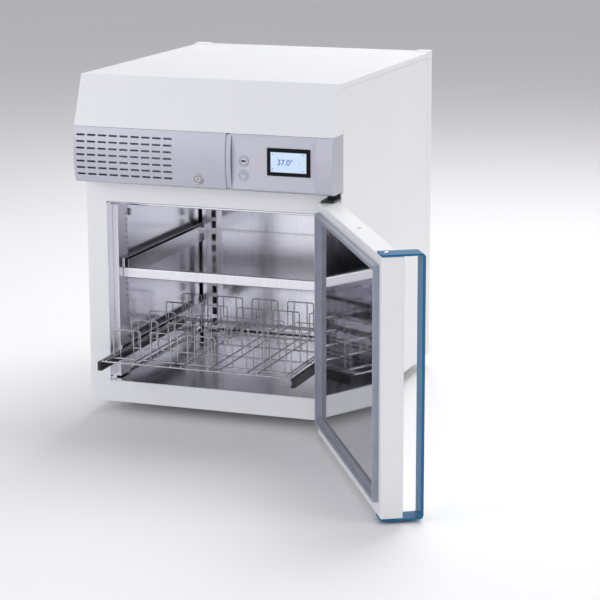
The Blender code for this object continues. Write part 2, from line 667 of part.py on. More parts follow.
def build_grille():
    back = HOUSING_FRONT - GAP
    cut_back = -0.055
    top_row, row_pitch, slot_rise = 0.7275, 0.0170, 0.0025
    first_slot, slot_pitch, slot_length = -0.3470, 0.0305, 0.0245
    slots = []
    for row in range(7):
        height = top_row - row * row_pitch
        for column in range(9):
            left = first_slot + column * slot_pitch
            slots.append(box((left, COVER_FRONT, height - slot_rise),
                             (left + slot_length, cut_back, height + slot_rise)))
    centre = AXIS_PLACES["lock_axis"]
    ring_inside, ring_outside = 0.0090, 0.0132
    lock_hole = disc(ring_outside + GAP, COVER_FRONT, cut_back, "Y", centre)
    inside = prism(bowed_profile(COVER_SHEET, 0.0), "X",
                   COVER_SHEET - HALF_WIDTH, GRILLE_END - COVER_SHEET)
    piece("grille_cover", prism(bowed_profile(0, back), "X", -HALF_WIDTH, GRILLE_END), "silver coat",
          cuts=[inside, together(slots), lock_hole])
    piece("lock_escutcheon", tube(ring_inside, ring_outside, -0.0715, -0.0610, "Y", centre),
          "chrome", round_shape=True)
    cylinder_front, cylinder_back = -0.0705, -0.0470
    slot_half, slot_reach, slot_depth = 0.0008, 0.0045, 0.0025
    key_slot = box((centre.x - slot_half, COVER_FRONT, centre.z - slot_reach),
                   (centre.x + slot_half, cylinder_front + slot_depth, centre.z + slot_reach))
    piece("lock_cylinder",
          disc(ring_inside - GAP, cylinder_front, cylinder_back, "Y", centre), "chrome", lock_axis,
          cuts=[key_slot], round_shape=True)
    bolt_low, bolt_high = 0.6050, 0.6450
    piece("lock_bolt", box((BOLT_SIDES[0], BOLT_DEPTHS[0], bolt_low),
                           (BOLT_SIDES[1], BOLT_DEPTHS[1], bolt_high)), "chrome")


def build_controls():
    back = HOUSING_FRONT - GAP
    cut_back = -0.045
    border = 0.003
    plate_front, plate_back = -0.0640, -0.0615
    plate_low, plate_high = (PANEL_START + border, 0.6075), (PLATE_END, 0.7445)
    window = box((plate_low[0], COVER_FRONT, plate_low[1]), (plate_high[0], cut_back, plate_high[1]))
    inside = prism(bowed_profile(COVER_SHEET, 0.0), "X",
                   PANEL_START + COVER_SHEET, HALF_WIDTH - COVER_SHEET)
    piece("control_panel", prism(bowed_profile(0, back), "X", PANEL_START, HALF_WIDTH), "silver coat",
          cuts=[inside, window])
    port = Vector((0.1148, 0, 0.6800))
    button = Vector((0.1131, 0, 0.6430))
    ring_radius = 0.0140
    screen_low, screen_high = (0.1790, 0.6470), (0.2940, 0.7170)
    holes = [disc(ring_radius + GAP, COVER_FRONT, cut_back, "Y", port),
             disc(ring_radius + GAP, COVER_FRONT, cut_back, "Y", button),
             box((screen_low[0] - GAP, COVER_FRONT, screen_low[1] - GAP),
                 (screen_high[0] + GAP, cut_back, screen_high[1] + GAP))]
    piece("control_plate",
          box((plate_low[0] + GAP, plate_front, plate_low[1] + GAP),
              (plate_high[0] - GAP, plate_back, plate_high[1] - GAP)),
          "silver coat", cuts=[together(holes)])

    proud, sunk = -0.0668, -0.0580
    bezel = 0.0070
    bezel_inside = rectangle(screen_low[0] + bezel, screen_low[1] + bezel,
                             screen_high[0] - bezel, screen_high[1] - bezel)
    piece("display_bezel",
          ring_prism(rectangle(*screen_low, *screen_high), bezel_inside, "Y", proud, sunk),
          "black plastic")
    inset = bezel + GAP
    screen_face, screen_back = -0.0660, -0.0600
    piece("display_screen", box((screen_low[0] + inset, screen_face, screen_low[1] + inset),
                                (screen_high[0] - inset, screen_back, screen_high[1] - inset)),
          "glass")

    port_radius, button_radius = 0.0100, 0.0088
    ring_face, ring_back = -0.0662, -0.0590
    insert_face, insert_back = -0.0655, -0.0600
    piece("data_port_ring", tube(port_radius, ring_radius, ring_face, ring_back, "Y", port),
          "silver coat", round_shape=True)
    piece("data_port_insert", disc(port_radius - GAP, insert_face, insert_back, "Y", port),
          "black plastic", round_shape=True)
    piece("button_ring", tube(button_radius, ring_radius, ring_face, ring_back, "Y", button),
          "silver coat", round_shape=True)
    piece("power_button", disc(button_radius - GAP, proud, sunk, "Y", button), "silver coat",
          round_shape=True)


# Electrical pieces over the chamber and on the rear panel.

def build_electrics():
    floor = 0.600
    on_tray = floor + SHEET + GAP
    tray_half, tray_front, tray_back, tray_rise = 0.300, 0.060, 0.600, 0.012
    piece("electronics_tray",
          tray((-tray_half, tray_front, floor), (tray_half, tray_back, floor + tray_rise),
               "+Z", SHEET), "silver coat")
    supply_top, board_top = floor + 0.055, floor + 0.0065
    piece("power_supply", box((-0.220, 0.150, on_tray), (-0.080, 0.350, supply_top)),
          "silver coat")
    piece("controller_board", box((0.040, 0.150, on_tray), (0.240, 0.320, board_top)), "board")

    low, high = MAINS_HEIGHTS
    wall = 0.0025
    proud = BACK + 0.002
    piece("power_inlet",
          tray((INLET_SIDES[0], proud - 0.022, low), (INLET_SIDES[1], proud, high), "+Y", wall),
          "black plastic")
    left, right = SWITCH_SIDES
    rocker_left, rocker_right = 0.2425, 0.2635
    play = 0.0005
    frame = ring_prism(rectangle(left, low, right, high),
                       rectangle(rocker_left - play, low + wall, rocker_right + play, high - wall),
                       "Y", proud - 0.017, proud)
    piece("mains_switch_frame", frame, "black plastic")
    centre = AXIS_PLACES["rocker_axis"]
    half = 0.0078
    behind, edge, dip = -0.0040, 0.0095, 0.0070
    face = [(behind, -half), (edge, -half), (dip, 0), (edge, half), (behind, half)]
    rocker = [(centre.y + depth, centre.z + height) for depth, height in face]
    piece("mains_rocker", prism(rocker, "X", rocker_left, rocker_right), "black plastic",
          rocker_axis)


def stand_over_origin():
    """Moves the whole incubator so that the middle of its outline is over the origin."""
    bpy.context.view_layer.update()
    graph = bpy.context.evaluated_depsgraph_get()
    corners = []
    for item in bpy.data.objects:
        if item.type == "EMPTY" or item.hide_render:
            continue
        seen = item.evaluated_get(graph)
        mesh = seen.to_mesh()
        corners += [seen.matrix_world @ point.co for point in mesh.vertices]
        seen.to_mesh_clear()
    for axis in (0, 1):
        values = [corner[axis] for corner in corners]
        incubator.location[axis] = round(-(min(values) + max(values)) / 2, 4)


build_casing()
build_feet()
build_chamber()
build_heater()
build_standards()
build_shelf()
build_rack()
build_door()
build_hinges()
build_head()
build_grille()
build_controls()
build_electrics()
stand_over_origin()
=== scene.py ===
import json
import math

import bmesh
import bpy
from mathutils import Matrix, Vector


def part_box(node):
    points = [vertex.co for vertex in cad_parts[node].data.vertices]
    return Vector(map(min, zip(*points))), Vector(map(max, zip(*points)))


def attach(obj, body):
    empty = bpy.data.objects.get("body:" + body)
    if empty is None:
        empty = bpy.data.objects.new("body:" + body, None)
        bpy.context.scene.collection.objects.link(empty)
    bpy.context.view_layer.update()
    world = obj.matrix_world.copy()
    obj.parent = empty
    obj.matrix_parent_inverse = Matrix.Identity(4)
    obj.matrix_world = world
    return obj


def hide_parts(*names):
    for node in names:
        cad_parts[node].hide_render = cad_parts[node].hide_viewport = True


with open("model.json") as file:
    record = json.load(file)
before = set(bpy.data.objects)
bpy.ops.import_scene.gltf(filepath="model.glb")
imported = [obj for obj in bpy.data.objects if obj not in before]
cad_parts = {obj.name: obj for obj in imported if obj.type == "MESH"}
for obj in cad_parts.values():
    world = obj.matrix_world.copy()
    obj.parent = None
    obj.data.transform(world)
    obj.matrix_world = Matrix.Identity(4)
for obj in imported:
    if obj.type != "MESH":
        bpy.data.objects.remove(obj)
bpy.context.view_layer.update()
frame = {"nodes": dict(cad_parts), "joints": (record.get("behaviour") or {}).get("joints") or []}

scene = bpy.context.scene


# Camera: a long lens in front of the cabinet and to its right, a little above its top.
# It stands far back, so that the cabinet's upright edges stay nearly parallel.
CAMERA_PLACE = Vector((1.90546, -5.17570, 1.57743))
CAMERA_YAW = -0.3501
CAMERA_PITCH = -0.2219
CAMERA_ROLL = -0.0032
lens = bpy.data.cameras.new("camera")
lens.lens = 130.375
lens.sensor_width = 36
lens.clip_end = 200
camera = bpy.data.objects.new("camera", lens)
scene.collection.objects.link(camera)
heading = Matrix.Rotation(-CAMERA_YAW, 4, "Z") @ Matrix.Rotation(math.pi / 2 + CAMERA_PITCH, 4, "X")
camera.matrix_world = Matrix.Translation(CAMERA_PLACE) @ heading @ Matrix.Rotation(CAMERA_ROLL, 4, "Z")
scene.camera = camera


# Studio: a pale matt floor under large soft lamps. One stands to the left, one to the right,
# one overhead, and a very wide one in front, which the bright steel mirrors.
class Number:
    """A value that varies over a surface. Sums and products of these add Math nodes."""

    def __init__(self, finish, socket):
        self.finish = finish
        self.socket = socket

    def maths(self, operation, first, second):
        return self.finish.add("Math", {"operation": operation}, {0: first, 1: second})

    def __add__(self, other):
        return self.maths("ADD", self, other)

    def __sub__(self, other):
        return self.maths("SUBTRACT", self, other)

    def __rsub__(self, other):
        return self.maths("SUBTRACT", other, self)

    def __mul__(self, other):
        return self.maths("MULTIPLY", self, other)

    __radd__ = __add__
    __rmul__ = __mul__


class Finish:
    """A material made from the outside in: the shader's own values first, then what varies."""

    def __init__(self, name, colour, roughness, metallic=0.0, **sockets):
        self.material = bpy.data.materials.new(name)
        self.material.use_nodes = True
        self.tree = self.material.node_tree
        self.shader = self.tree.nodes["Principled BSDF"]
        self.set("Base Color", (*colour, 1))
        self.set("Roughness", roughness)
        self.set("Metallic", metallic)
        for socket, value in sockets.items():
            self.set(socket.replace("_", " "), value)

    def feed(self, socket, value):
        if isinstance(value, Number):
            self.tree.links.new(value.socket, socket)
        else:
            socket.default_value = value

    def set(self, socket, value):
        self.feed(self.shader.inputs[socket], value)

    def add(self, kind, settings=None, inputs=None, output=0):
        """Adds any node: its settings first, then the values or links of its sockets."""
        node = self.tree.nodes.new("ShaderNode" + kind)
        for setting, value in (settings or {}).items():
            if setting == "stops":
                for stop, (place, colour) in zip(node.color_ramp.elements, value):
                    stop.position = place
                    stop.color = colour
            else:
                setattr(node, setting, value)
        for socket, value in (inputs or {}).items():
            self.feed(node.inputs[socket], value)
        return Number(self, node.outputs[output])

    def places(self, stretch=(1, 1, 1)):
        """The surface's own coordinates in metres, stretched along each axis."""
        here = self.add("TexCoord", output="Object")
        return self.add("VectorMath", {"operation": "MULTIPLY"}, {0: here, 1: stretch})

    def noise(self, scale, detail=2.0, stretch=(1, 1, 1)):
        inputs = {"Vector": self.places(stretch), "Scale": scale, "Detail": detail}
        return self.add("TexNoise", None, inputs)

    def tones(self, dark, light, mask):
        """Base colour that runs from one tone to another with a mask."""
        colours = {"Factor": mask, 6: (*dark, 1), 7: (*light, 1)}
        self.set("Base Color", self.add("Mix", {"data_type": "RGBA"}, colours, 2))

    def relief(self, height, depth, strength=1.0):
        """A fine surface relief, its depth in metres."""
        inputs = {"Height": height, "Distance": depth, "Strength": strength}
        self.set("Normal", self.add("Bump", None, inputs))


floor_finish = Finish("studio_floor", (0.90, 0.89, 0.88), 0.55)
floor_finish.tones((0.885, 0.88, 0.875), (0.92, 0.915, 0.91), floor_finish.noise(0.8, 3))
floor_finish.relief(floor_finish.noise(300), 0.0002, 0.3)
FLOOR_REACH = 40
sheet = bmesh.new()
bmesh.ops.create_grid(sheet, x_segments=8, y_segments=8, size=FLOOR_REACH)
floor_mesh = bpy.data.meshes.new("floor")
sheet.to_mesh(floor_mesh)
sheet.free()
floor = bpy.data.objects.new("floor", floor_mesh)
floor.data.materials.append(floor_finish.material)
scene.collection.objects.link(floor)


def lamp(name, place, aim, size, power, colour):
    light = bpy.data.lights.new(name, "AREA")
    light.shape = "RECTANGLE"
    light.size, light.size_y = size
    light.energy = power
    light.color = colour
    holder = bpy.data.objects.new(name, light)
    scene.collection.objects.link(holder)
    holder.location = place
    holder.rotation_euler = (Vector(aim) - Vector(place)).to_track_quat("-Z", "Y").to_euler()


lamp("lamp_left", (-3.6, -3.4, 2.2), (0, 0, 0.5), (2.6, 2.6), 62, (0.95, 0.96, 1.0))
lamp("lamp_right", (4.6, -0.6, 2.4), (0.3, 0.2, 0.4), (2.6, 2.6), 42, (1.0, 0.985, 0.965))
lamp("lamp_above", (0.4, 2.3, 4.2), (0, 0.4, 0.6), (3.2, 3.2), 150, (1.0, 1.0, 1.0))
lamp("lamp_wide", (0.3, -7.4, 2.0), (0, 0, 0.5), (9.0, 4.0), 105, (0.95, 0.96, 1.0))
scene.world = bpy.data.worlds.new("studio")
scene.world.use_nodes = True
scene.world.node_tree.nodes["Background"].inputs["Color"].default_value = (0.68, 0.68, 0.72, 1)
scene.world.node_tree.nodes["Background"].inputs["Strength"].default_value = 0.70
scene.view_settings.view_transform = "Standard"


# Casing: side panels, top and rear are folded from coated sheet steel, with rounded folds.
# They are screwed to each other behind, so that no screws show at the front or the sides.
frame_low, frame_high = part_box("front_frame")
HOME = Vector(((frame_low.x + frame_high.x) / 2, frame_low.y, frame_low.z))
AT_HOME = Matrix.Translation(HOME)
SHEET = 0.0015


def home_box(node):
    """A node's box, measured from the middle of the front frame's lower edge."""
    low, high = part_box(node)
    return low - HOME, high - HOME


def block(low, high):
    shape = bmesh.new()
    bmesh.ops.create_cube(shape, size=1)
    for corner in shape.verts:
        for axis in range(3):
            corner.co[axis] = low[axis] if corner.co[axis] < 0 else high[axis]
    return shape


def rounded(shape, radius, segments=3, chosen=None):
    """Rounds the sharp edges of a shape, or those of them that are chosen."""
    edges = [edge for edge in shape.edges
             if len(edge.link_faces) == 2 and edge.calc_face_angle() > 0.5
             and (chosen is None or chosen(edge))]
    bmesh.ops.bevel(shape, geom=edges, offset=radius, segments=segments, profile=0.5,
                    affect="EDGES", clamp_overlap=True)
    return shape


def place_piece(name, shape, finish, body, stands_for=(), place=AT_HOME, cuts=()):
    """Makes an object of a shape, cuts it, and says which body it rides on."""
    mesh = bpy.data.meshes.new(name)
    shape.to_mesh(mesh)
    shape.free()
    made = bpy.data.objects.new(name, mesh)
    scene.collection.objects.link(made)
    made.matrix_world = place
    for tool in cuts:
        tool_mesh = bpy.data.meshes.new("tool")
        tool.to_mesh(tool_mesh)
        tool.free()
        cutter = bpy.data.objects.new("tool", tool_mesh)
        scene.collection.objects.link(cutter)
        cutter.matrix_world = place
        step = made.modifiers.new("cut", "BOOLEAN")
        step.solver = "EXACT"
        step.object = cutter
        bpy.context.view_layer.update()
        seen = made.evaluated_get(bpy.context.evaluated_depsgraph_get())
        cut_mesh = bpy.data.meshes.new_from_object(seen)
        made.modifiers.clear()
        made.data = cut_mesh
        bpy.data.objects.remove(cutter)
    made.data.materials.clear()
    made.data.materials.append(finish.material)
    made.data.shade_smooth()
    made.data.set_sharp_from_angle(angle=math.radians(40))
    made.modifiers.new("even_shading", "WEIGHTED_NORMAL").keep_sharp = True
    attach(made, body)
    if stands_for:
        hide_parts(*stands_for)
    return made


def dress(finish, *nodes):
    """Gives CAD nodes that stay as they are their finish."""
    for node in nodes:
        frame["nodes"][node].data.materials.clear()
        frame["nodes"][node].data.materials.append(finish.material)


def folded_tray(low, high, open_side, wall, radius):
    """A tray folded from sheet: rounded outside, open on one side, with walls of one thickness."""
    direction = Vector(open_side)
    shape = block(low, high)
    mouth = max(shape.faces, key=lambda face: face.normal.dot(direction))
    mouth_edges = set(mouth.edges)
    rounded(shape, radius, 4, lambda edge: edge not in mouth_edges)
    mouth = max(shape.faces, key=lambda face: (round(face.normal.dot(direction), 3), face.calc_area()))
    depth = abs((Vector(high) - Vector(low)).dot(direction)) - wall
    bmesh.ops.inset_region(shape, faces=[mouth], thickness=wall, use_even_offset=True)
    sunk = bmesh.ops.extrude_discrete_faces(shape, faces=[mouth])["faces"][0]
    bmesh.ops.translate(shape, verts=sunk.verts, vec=-direction * depth)
    return shape


white_coat = Finish("white_powder_coat", (0.80, 0.80, 0.81), 0.38, Coat_Weight=0.15, Coat_Roughness=0.25)
white_coat.tones((0.775, 0.775, 0.79), (0.815, 0.815, 0.82), white_coat.noise(5, 3))
white_coat.set("Roughness", white_coat.noise(9, 2) * 0.12 + 0.32)
white_coat.relief(white_coat.noise(1100, 1), 0.00006, 0.35)
FOLD = 0.0022
for side in ("left", "right"):
    opening = (1, 0, 0) if side == "left" else (-1, 0, 0)
    place_piece(f"{side}_wall", folded_tray(*home_box(f"side_panel_{side}"), opening, SHEET, FOLD),
                white_coat, "cabinet", [f"side_panel_{side}"])
place_piece("lid", folded_tray(*home_box("top_panel"), (0, 0, -1), SHEET, FOLD),
            white_coat, "cabinet", ["top_panel"])
dress(white_coat, "base_pan")


# Rear panel: the same coated sheet, folded forward round all four sides, with raised corners.
# It carries an inlet, a switch and, low down, rows of vent slots for the fan motor.
def stadium(centre_a, centre_b, length, height, axis, start, stop):
    """A prism with rounded ends, whose long side lies along the first of its two coordinates."""
    shape = bmesh.new()
    points = []
    radius = height / 2
    for side in (1, -1):
        for step in range(7):
            turn = math.radians(-90 + step * 30) if side > 0 else math.radians(90 + step * 30)
            across = centre_a + side * (length / 2 - radius) + radius * math.cos(turn)
            points.append((across, centre_b + radius * math.sin(turn)))
    return extruded(points, axis, start, stop, shape)


def extruded(points, axis, start, stop, shape=None):
    """A closed prism of an outline between two places on an axis."""
    shape = shape or bmesh.new()
    order = {"X": (2, 0, 1), "Y": (0, 2, 1), "Z": (0, 1, 2)}[axis]
    ends = []
    for place in (start, stop):
        values = [(first, second, place) for first, second in points]
        ends.append([shape.verts.new([value[index] for index in order]) for value in values])
    shape.faces.new(ends[0])
    shape.faces.new(ends[1])
    for index in range(len(points)):
        following = (index + 1) % len(points)
        shape.faces.new((ends[0][index], ends[0][following], ends[1][following], ends[1][index]))
    bmesh.ops.recalc_face_normals(shape, faces=shape.faces)
    return shape


def together(shapes):
    """Several shapes in one mesh."""
    whole = bmesh.new()
    for shape in shapes:
        mesh = bpy.data.meshes.new("loose")
        shape.to_mesh(mesh)
        shape.free()
        whole.from_mesh(mesh)
        bpy.data.meshes.remove(mesh)
    return whole


rear_low, rear_high = home_box("rear_panel")
CORNER_WIDTH = 0.040
CORNER_RISE = 0.003
sheet_high = Vector((rear_high.x, rear_high.y, rear_high.z - CORNER_RISE))
rear_sheet = folded_tray(rear_low, sheet_high, (0, -1, 0), SHEET, FOLD)
vents = []
for row in range(8):
    for column in (-1, 0, 1):
        vents.append(stadium(column * 0.060, 0.205 + row * 0.013, 0.048, 0.005, "Y", 0.77, 0.80))
inlet_low, inlet_high = home_box("power_inlet")
switch_low, switch_high = home_box("mains_switch_frame")
mains_hole = block((inlet_low.x - 0.0003, 0.75, inlet_low.z - 0.0003),
                   (switch_high.x + 0.0003, 0.80, switch_high.z + 0.0003))
place_piece("rear_sheet", rear_sheet, white_coat, "cabinet", ["rear_panel"],
            cuts=[together(vents), mains_hole])
for side in (-1, 1):
    edges = sorted((side * (rear_high.x - CORNER_WIDTH), side * rear_high.x))
    cap = block((edges[0], rear_low.y, sheet_high.z - 0.0005), (edges[1], rear_high.y, rear_high.z))
    place_piece(f"rear_corner_{'left' if side < 0 else 'right'}", rounded(cap, 0.0012, 2),
                white_coat, "cabinet")


# Screws of the rear panel: button-headed steel screws, plated with zinc, 220 mm apart.
# They hold the panel to the folded edges of the sides and the top.
def turned(profile, axis, centre, sides=48):
    """A turned piece: (radius, place along the axis) points, spun about the axis."""
    shape = bmesh.new()
    points = [shape.verts.new((radius, 0, place)) for radius, place in profile]
    edges = [shape.edges.new(pair) for pair in zip(points, points[1:])]
    bmesh.ops.spin(shape, geom=points + edges, cent=(0, 0, 0), axis=(0, 0, 1),
                   angle=2 * math.pi, steps=sides, use_merge=True)
    bmesh.ops.remove_doubles(shape, verts=shape.verts, dist=1e-6)
    bmesh.ops.recalc_face_normals(shape, faces=shape.faces)
    turn = {"X": Matrix.Rotation(math.pi / 2, 4, "Y"), "Y": Matrix.Rotation(-math.pi / 2, 4, "X"),
            "Z": Matrix.Identity(4)}[axis]
    bmesh.ops.transform(shape, verts=shape.verts, matrix=Matrix.Translation(centre) @ turn)
    return shape


def arc(centre_a, centre_b, radius, start, stop, steps=6):
    """Points of an arc, its angles in degrees."""
    points = []
    for step in range(steps + 1):
        turn = math.radians(start + (stop - start) * step / steps)
        points.append((centre_a + radius * math.cos(turn), centre_b + radius * math.sin(turn)))
    return points


zinc = Finish("zinc_plate", (0.55, 0.56, 0.58), 0.34, 0.85)
zinc.tones((0.46, 0.47, 0.50), (0.60, 0.61, 0.62), zinc.noise(160, 3))
zinc.set("Roughness", zinc.noise(60, 3) * 0.25 + 0.25)
screws = []
for across in (-0.345, 0.345):
    for height in (0.12, 0.34, 0.56, 0.78):
        head = [(0, 0.0006), (0.0011, 0.0006), (0.0013, 0.0016),
                *arc(0.0022, 0, 0.0017, 90, 0, 4), (0, 0)]
        screws.append(turned(head, "Y", (across, rear_low.y + CORNER_WIDTH, height), 20))
place_piece("rear_screws", together(screws), zinc, "cabinet")


# Feet: four moulded rubber feet, rounded where they meet the bench.
# Each is screwed under the base pan, well behind the front frame.
rubber = Finish("foot_rubber", (0.03, 0.03, 0.032), 0.75)
rubber.tones((0.022, 0.022, 0.024), (0.045, 0.045, 0.048), rubber.noise(90, 4))
rubber.relief(rubber.noise(700), 0.0002, 0.4)
FOOT_EDGE = 0.003
for depth in ("front", "rear"):
    for side in ("left", "right"):
        foot_low, foot_high = home_box(f"foot_{depth}_{side}")
        middle = (foot_low + foot_high) / 2
        reach = foot_high.x - middle.x
        edge_middle = (reach - FOOT_EDGE - 0.003, foot_low.z + FOOT_EDGE)
        foot = [(0, foot_low.z), *arc(*edge_middle, FOOT_EDGE, -90, 0),
                (reach, foot_low.z + 0.006), (reach - 0.004, foot_low.z + 0.014),
                (reach - 0.005, foot_high.z - 0.002), (reach - 0.007, foot_high.z), (0, foot_high.z)]
        place_piece(f"rubber_foot_{depth}_{side}", turned(foot, "Z", (middle.x, middle.y, 0)), rubber,
                    "cabinet", [f"foot_{depth}_{side}"])


# Front frame: a stiff coated frame round the opening. Its rim stands a little proud and slopes
# down to the flat face that the door gasket closes on.
frame_low, frame_high = home_box("front_frame")
liner_low, liner_high = home_box("chamber_liner")
RIM_WIDTH = 0.0065
SLOPE_WIDTH = 0.0145
FACE_DROP = 0.0010
RIM_ROUND = 0.0016


def framed(outer_low, outer_high, profile):
    """Sweeps a profile round a rectangle with mitred corners: (distance inwards, depth) points."""
    shape = bmesh.new()
    loops = []
    for inwards, depth in profile:
        left, right = outer_low[0] + inwards, outer_high[0] - inwards
        bottom, top = outer_low[1] + inwards, outer_high[1] - inwards
        corners = ((left, bottom), (right, bottom), (right, top), (left, top))
        loops.append([shape.verts.new((across, depth, height)) for across, height in corners])
    for loop, next_loop in zip(loops, loops[1:] + loops[:1]):
        for index in range(4):
            following = (index + 1) % 4
            shape.faces.new((loop[index], loop[following], next_loop[following], next_loop[index]))
    bmesh.ops.recalc_face_normals(shape, faces=shape.faces)
    return shape


rim = [(0, frame_high.y), (0, RIM_ROUND), *arc(RIM_ROUND, RIM_ROUND, RIM_ROUND, 180, 270, 4),
       (RIM_WIDTH, 0), (RIM_WIDTH + SLOPE_WIDTH, FACE_DROP), (0.030, FACE_DROP), (0.030, frame_high.y)]
place_piece("frame_rim", framed((frame_low.x, frame_low.z), (frame_high.x, frame_high.z), rim),
            white_coat, "cabinet")
OPENING_ROUND = 0.002
face = bmesh.new()
outline = [(frame_low.x + 0.030, frame_low.z + 0.030), (frame_high.x - 0.030, frame_low.z + 0.030),
           (frame_high.x - 0.030, frame_high.z - 0.030), (frame_low.x + 0.030, frame_high.z - 0.030)]
hole_low = (liner_low.x - 0.0003, liner_low.z - 0.0003)
hole_high = (liner_high.x + 0.0003, liner_high.z + 0.0003)
hole = [hole_low, (hole_high[0], hole_low[1]), hole_high, (hole_low[0], hole_high[1])]
loops = []
for points, depth in ((outline, frame_high.y), (outline, FACE_DROP), (hole, FACE_DROP), (hole, frame_high.y)):
    loops.append([face.verts.new((across, depth, height)) for across, height in points])
for loop, next_loop in zip(loops, loops[1:] + loops[:1]):
    for index in range(4):
        following = (index + 1) % 4
        face.faces.new((loop[index], loop[following], next_loop[following], next_loop[index]))
bmesh.ops.recalc_face_normals(face, faces=face.faces)
inner_edges = {edge for edge in face.edges if {v for v in edge.verts} <= set(loops[2])}
rounded(face, OPENING_ROUND, 3, lambda edge: edge in inner_edges)
place_piece("frame_face", face, white_coat, "cabinet", ["front_frame"])


# Chamber: one liner of bright rolled stainless sheet, its corners and its mouth rounded,
# with foam behind it. The sheet is slightly wavy, which breaks up what it mirrors.
def bright_sheet(name, tone, roughness, grain, waviness=0.0012):
    """Stainless sheet: a fine grain along one axis and slow waves that bend its reflections."""
    made = Finish(name, (tone, tone, tone), roughness, 1.0)
    streaks = made.noise(1, 4, grain)
    dark = (tone * 0.78, tone * 0.77, tone * 0.82)
    light = (tone * 1.05, tone * 1.04, tone * 1.09)
    made.tones(dark, light, streaks)
    made.set("Roughness", streaks * 0.14 + (roughness - 0.07))
    waves = made.noise(7, 2, [1 if along > 100 else 0.35 for along in grain])
    made.relief(waves + streaks * 0.004, waviness, 0.5)
    return made


upright_steel = bright_sheet("bright_stainless_upright", 0.87, 0.17, (420, 420, 9), 0.0006)
LINER_ROUND = 0.010
LINER_SHEET = 0.0012
liner = folded_tray(liner_low, liner_high, (0, -1, 0), LINER_SHEET, LINER_ROUND)
fan_low, fan_high = home_box("fan_impeller")
fan_height = (fan_low.z + fan_high.z) / 2
shaft_hole = turned([(0, 0.60), (0.006, 0.60), (0.006, 0.80), (0, 0.80)], "Y", (0, 0, fan_height), 24)
place_piece("liner_sheet", liner, upright_steel, "cabinet", ["chamber_liner"],
            cuts=[shaft_hole])


# Air guide: a folded stainless strip across the ceiling, held by a knurled screw at each side.
# It turns the air that the fan blows forward down over the door opening.
baffle_low, baffle_high = home_box("air_baffle")
screw_low, screw_high = home_box("thumb_screw_left")
GUIDE_DROP = 0.030
guide_y = (screw_low.y + screw_high.y) / 2
guide = block((liner_low.x + 0.002, guide_y - 0.0008, liner_high.z - GUIDE_DROP),
              (liner_high.x - 0.002, guide_y + 0.0008, liner_high.z - LINER_SHEET))
guide_lip = block((liner_low.x + 0.002, guide_y - 0.0008, liner_high.z - GUIDE_DROP),
                  (liner_high.x - 0.002, guide_y + 0.010, liner_high.z - GUIDE_DROP + 0.0016))
place_piece("air_guide", together([rounded(guide, 0.0005, 2), rounded(guide_lip, 0.0005, 2)]),
            upright_steel, "cabinet")


# Air baffle and fan: a flat stainless sheet before the back wall, with slots for the fan.
# Behind it run the impeller, the bent tube heater and the sensor's chromed stem.
baffle = block(baffle_low, baffle_high)
slots = []
for row in range(5):
    slots.append(stadium(0, fan_height - 0.062 + row * 0.025, 0.100, 0.010, "Y", 0.60, 0.66))
sensor_low, sensor_high = home_box("temperature_sensor")
sensor_x, sensor_z = (sensor_low.x + sensor_high.x) / 2, (sensor_low.z + sensor_high.z) / 2
slots.append(turned([(0, 0.60), (0.005, 0.60), (0.005, 0.66), (0, 0.66)], "Y", (sensor_x, 0, sensor_z), 24))
place_piece("baffle_sheet", baffle, upright_steel, "cabinet", ["air_baffle"],
            cuts=[together(slots)])
chrome = Finish("bright_chrome", (0.72, 0.72, 0.74), 0.10, 1.0)
chrome.tones((0.22, 0.215, 0.225), (0.74, 0.73, 0.76), chrome.noise(90, 3))
chrome.set("Roughness", chrome.noise(120, 3) * 0.10 + 0.05)
black_coat = Finish("black_coated_steel", (0.02, 0.02, 0.022), 0.36, 0.3)
black_coat.tones((0.014, 0.014, 0.016), (0.032, 0.032, 0.035), black_coat.noise(140, 4))
black_coat.relief(black_coat.noise(900), 0.0001, 0.3)
black_plastic = Finish("black_moulded_plastic", (0.03, 0.03, 0.035), 0.42)
black_plastic.tones((0.022, 0.022, 0.026), (0.036, 0.036, 0.04), black_plastic.noise(60, 3))
black_plastic.relief(black_plastic.noise(1300, 1), 0.0001, 0.35)
foam = Finish("insulation_foam", (0.80, 0.75, 0.55), 0.9)
foam.tones((0.70, 0.64, 0.44), (0.84, 0.79, 0.60), foam.noise(260, 4))
foam.relief(foam.noise(500), 0.0006, 0.6)
dress(chrome, "temperature_sensor")
dress(black_coat, "heating_element", "fan_motor")
dress(black_plastic, "fan_impeller")
dress(foam, "insulation_jacket", "door_insulation")


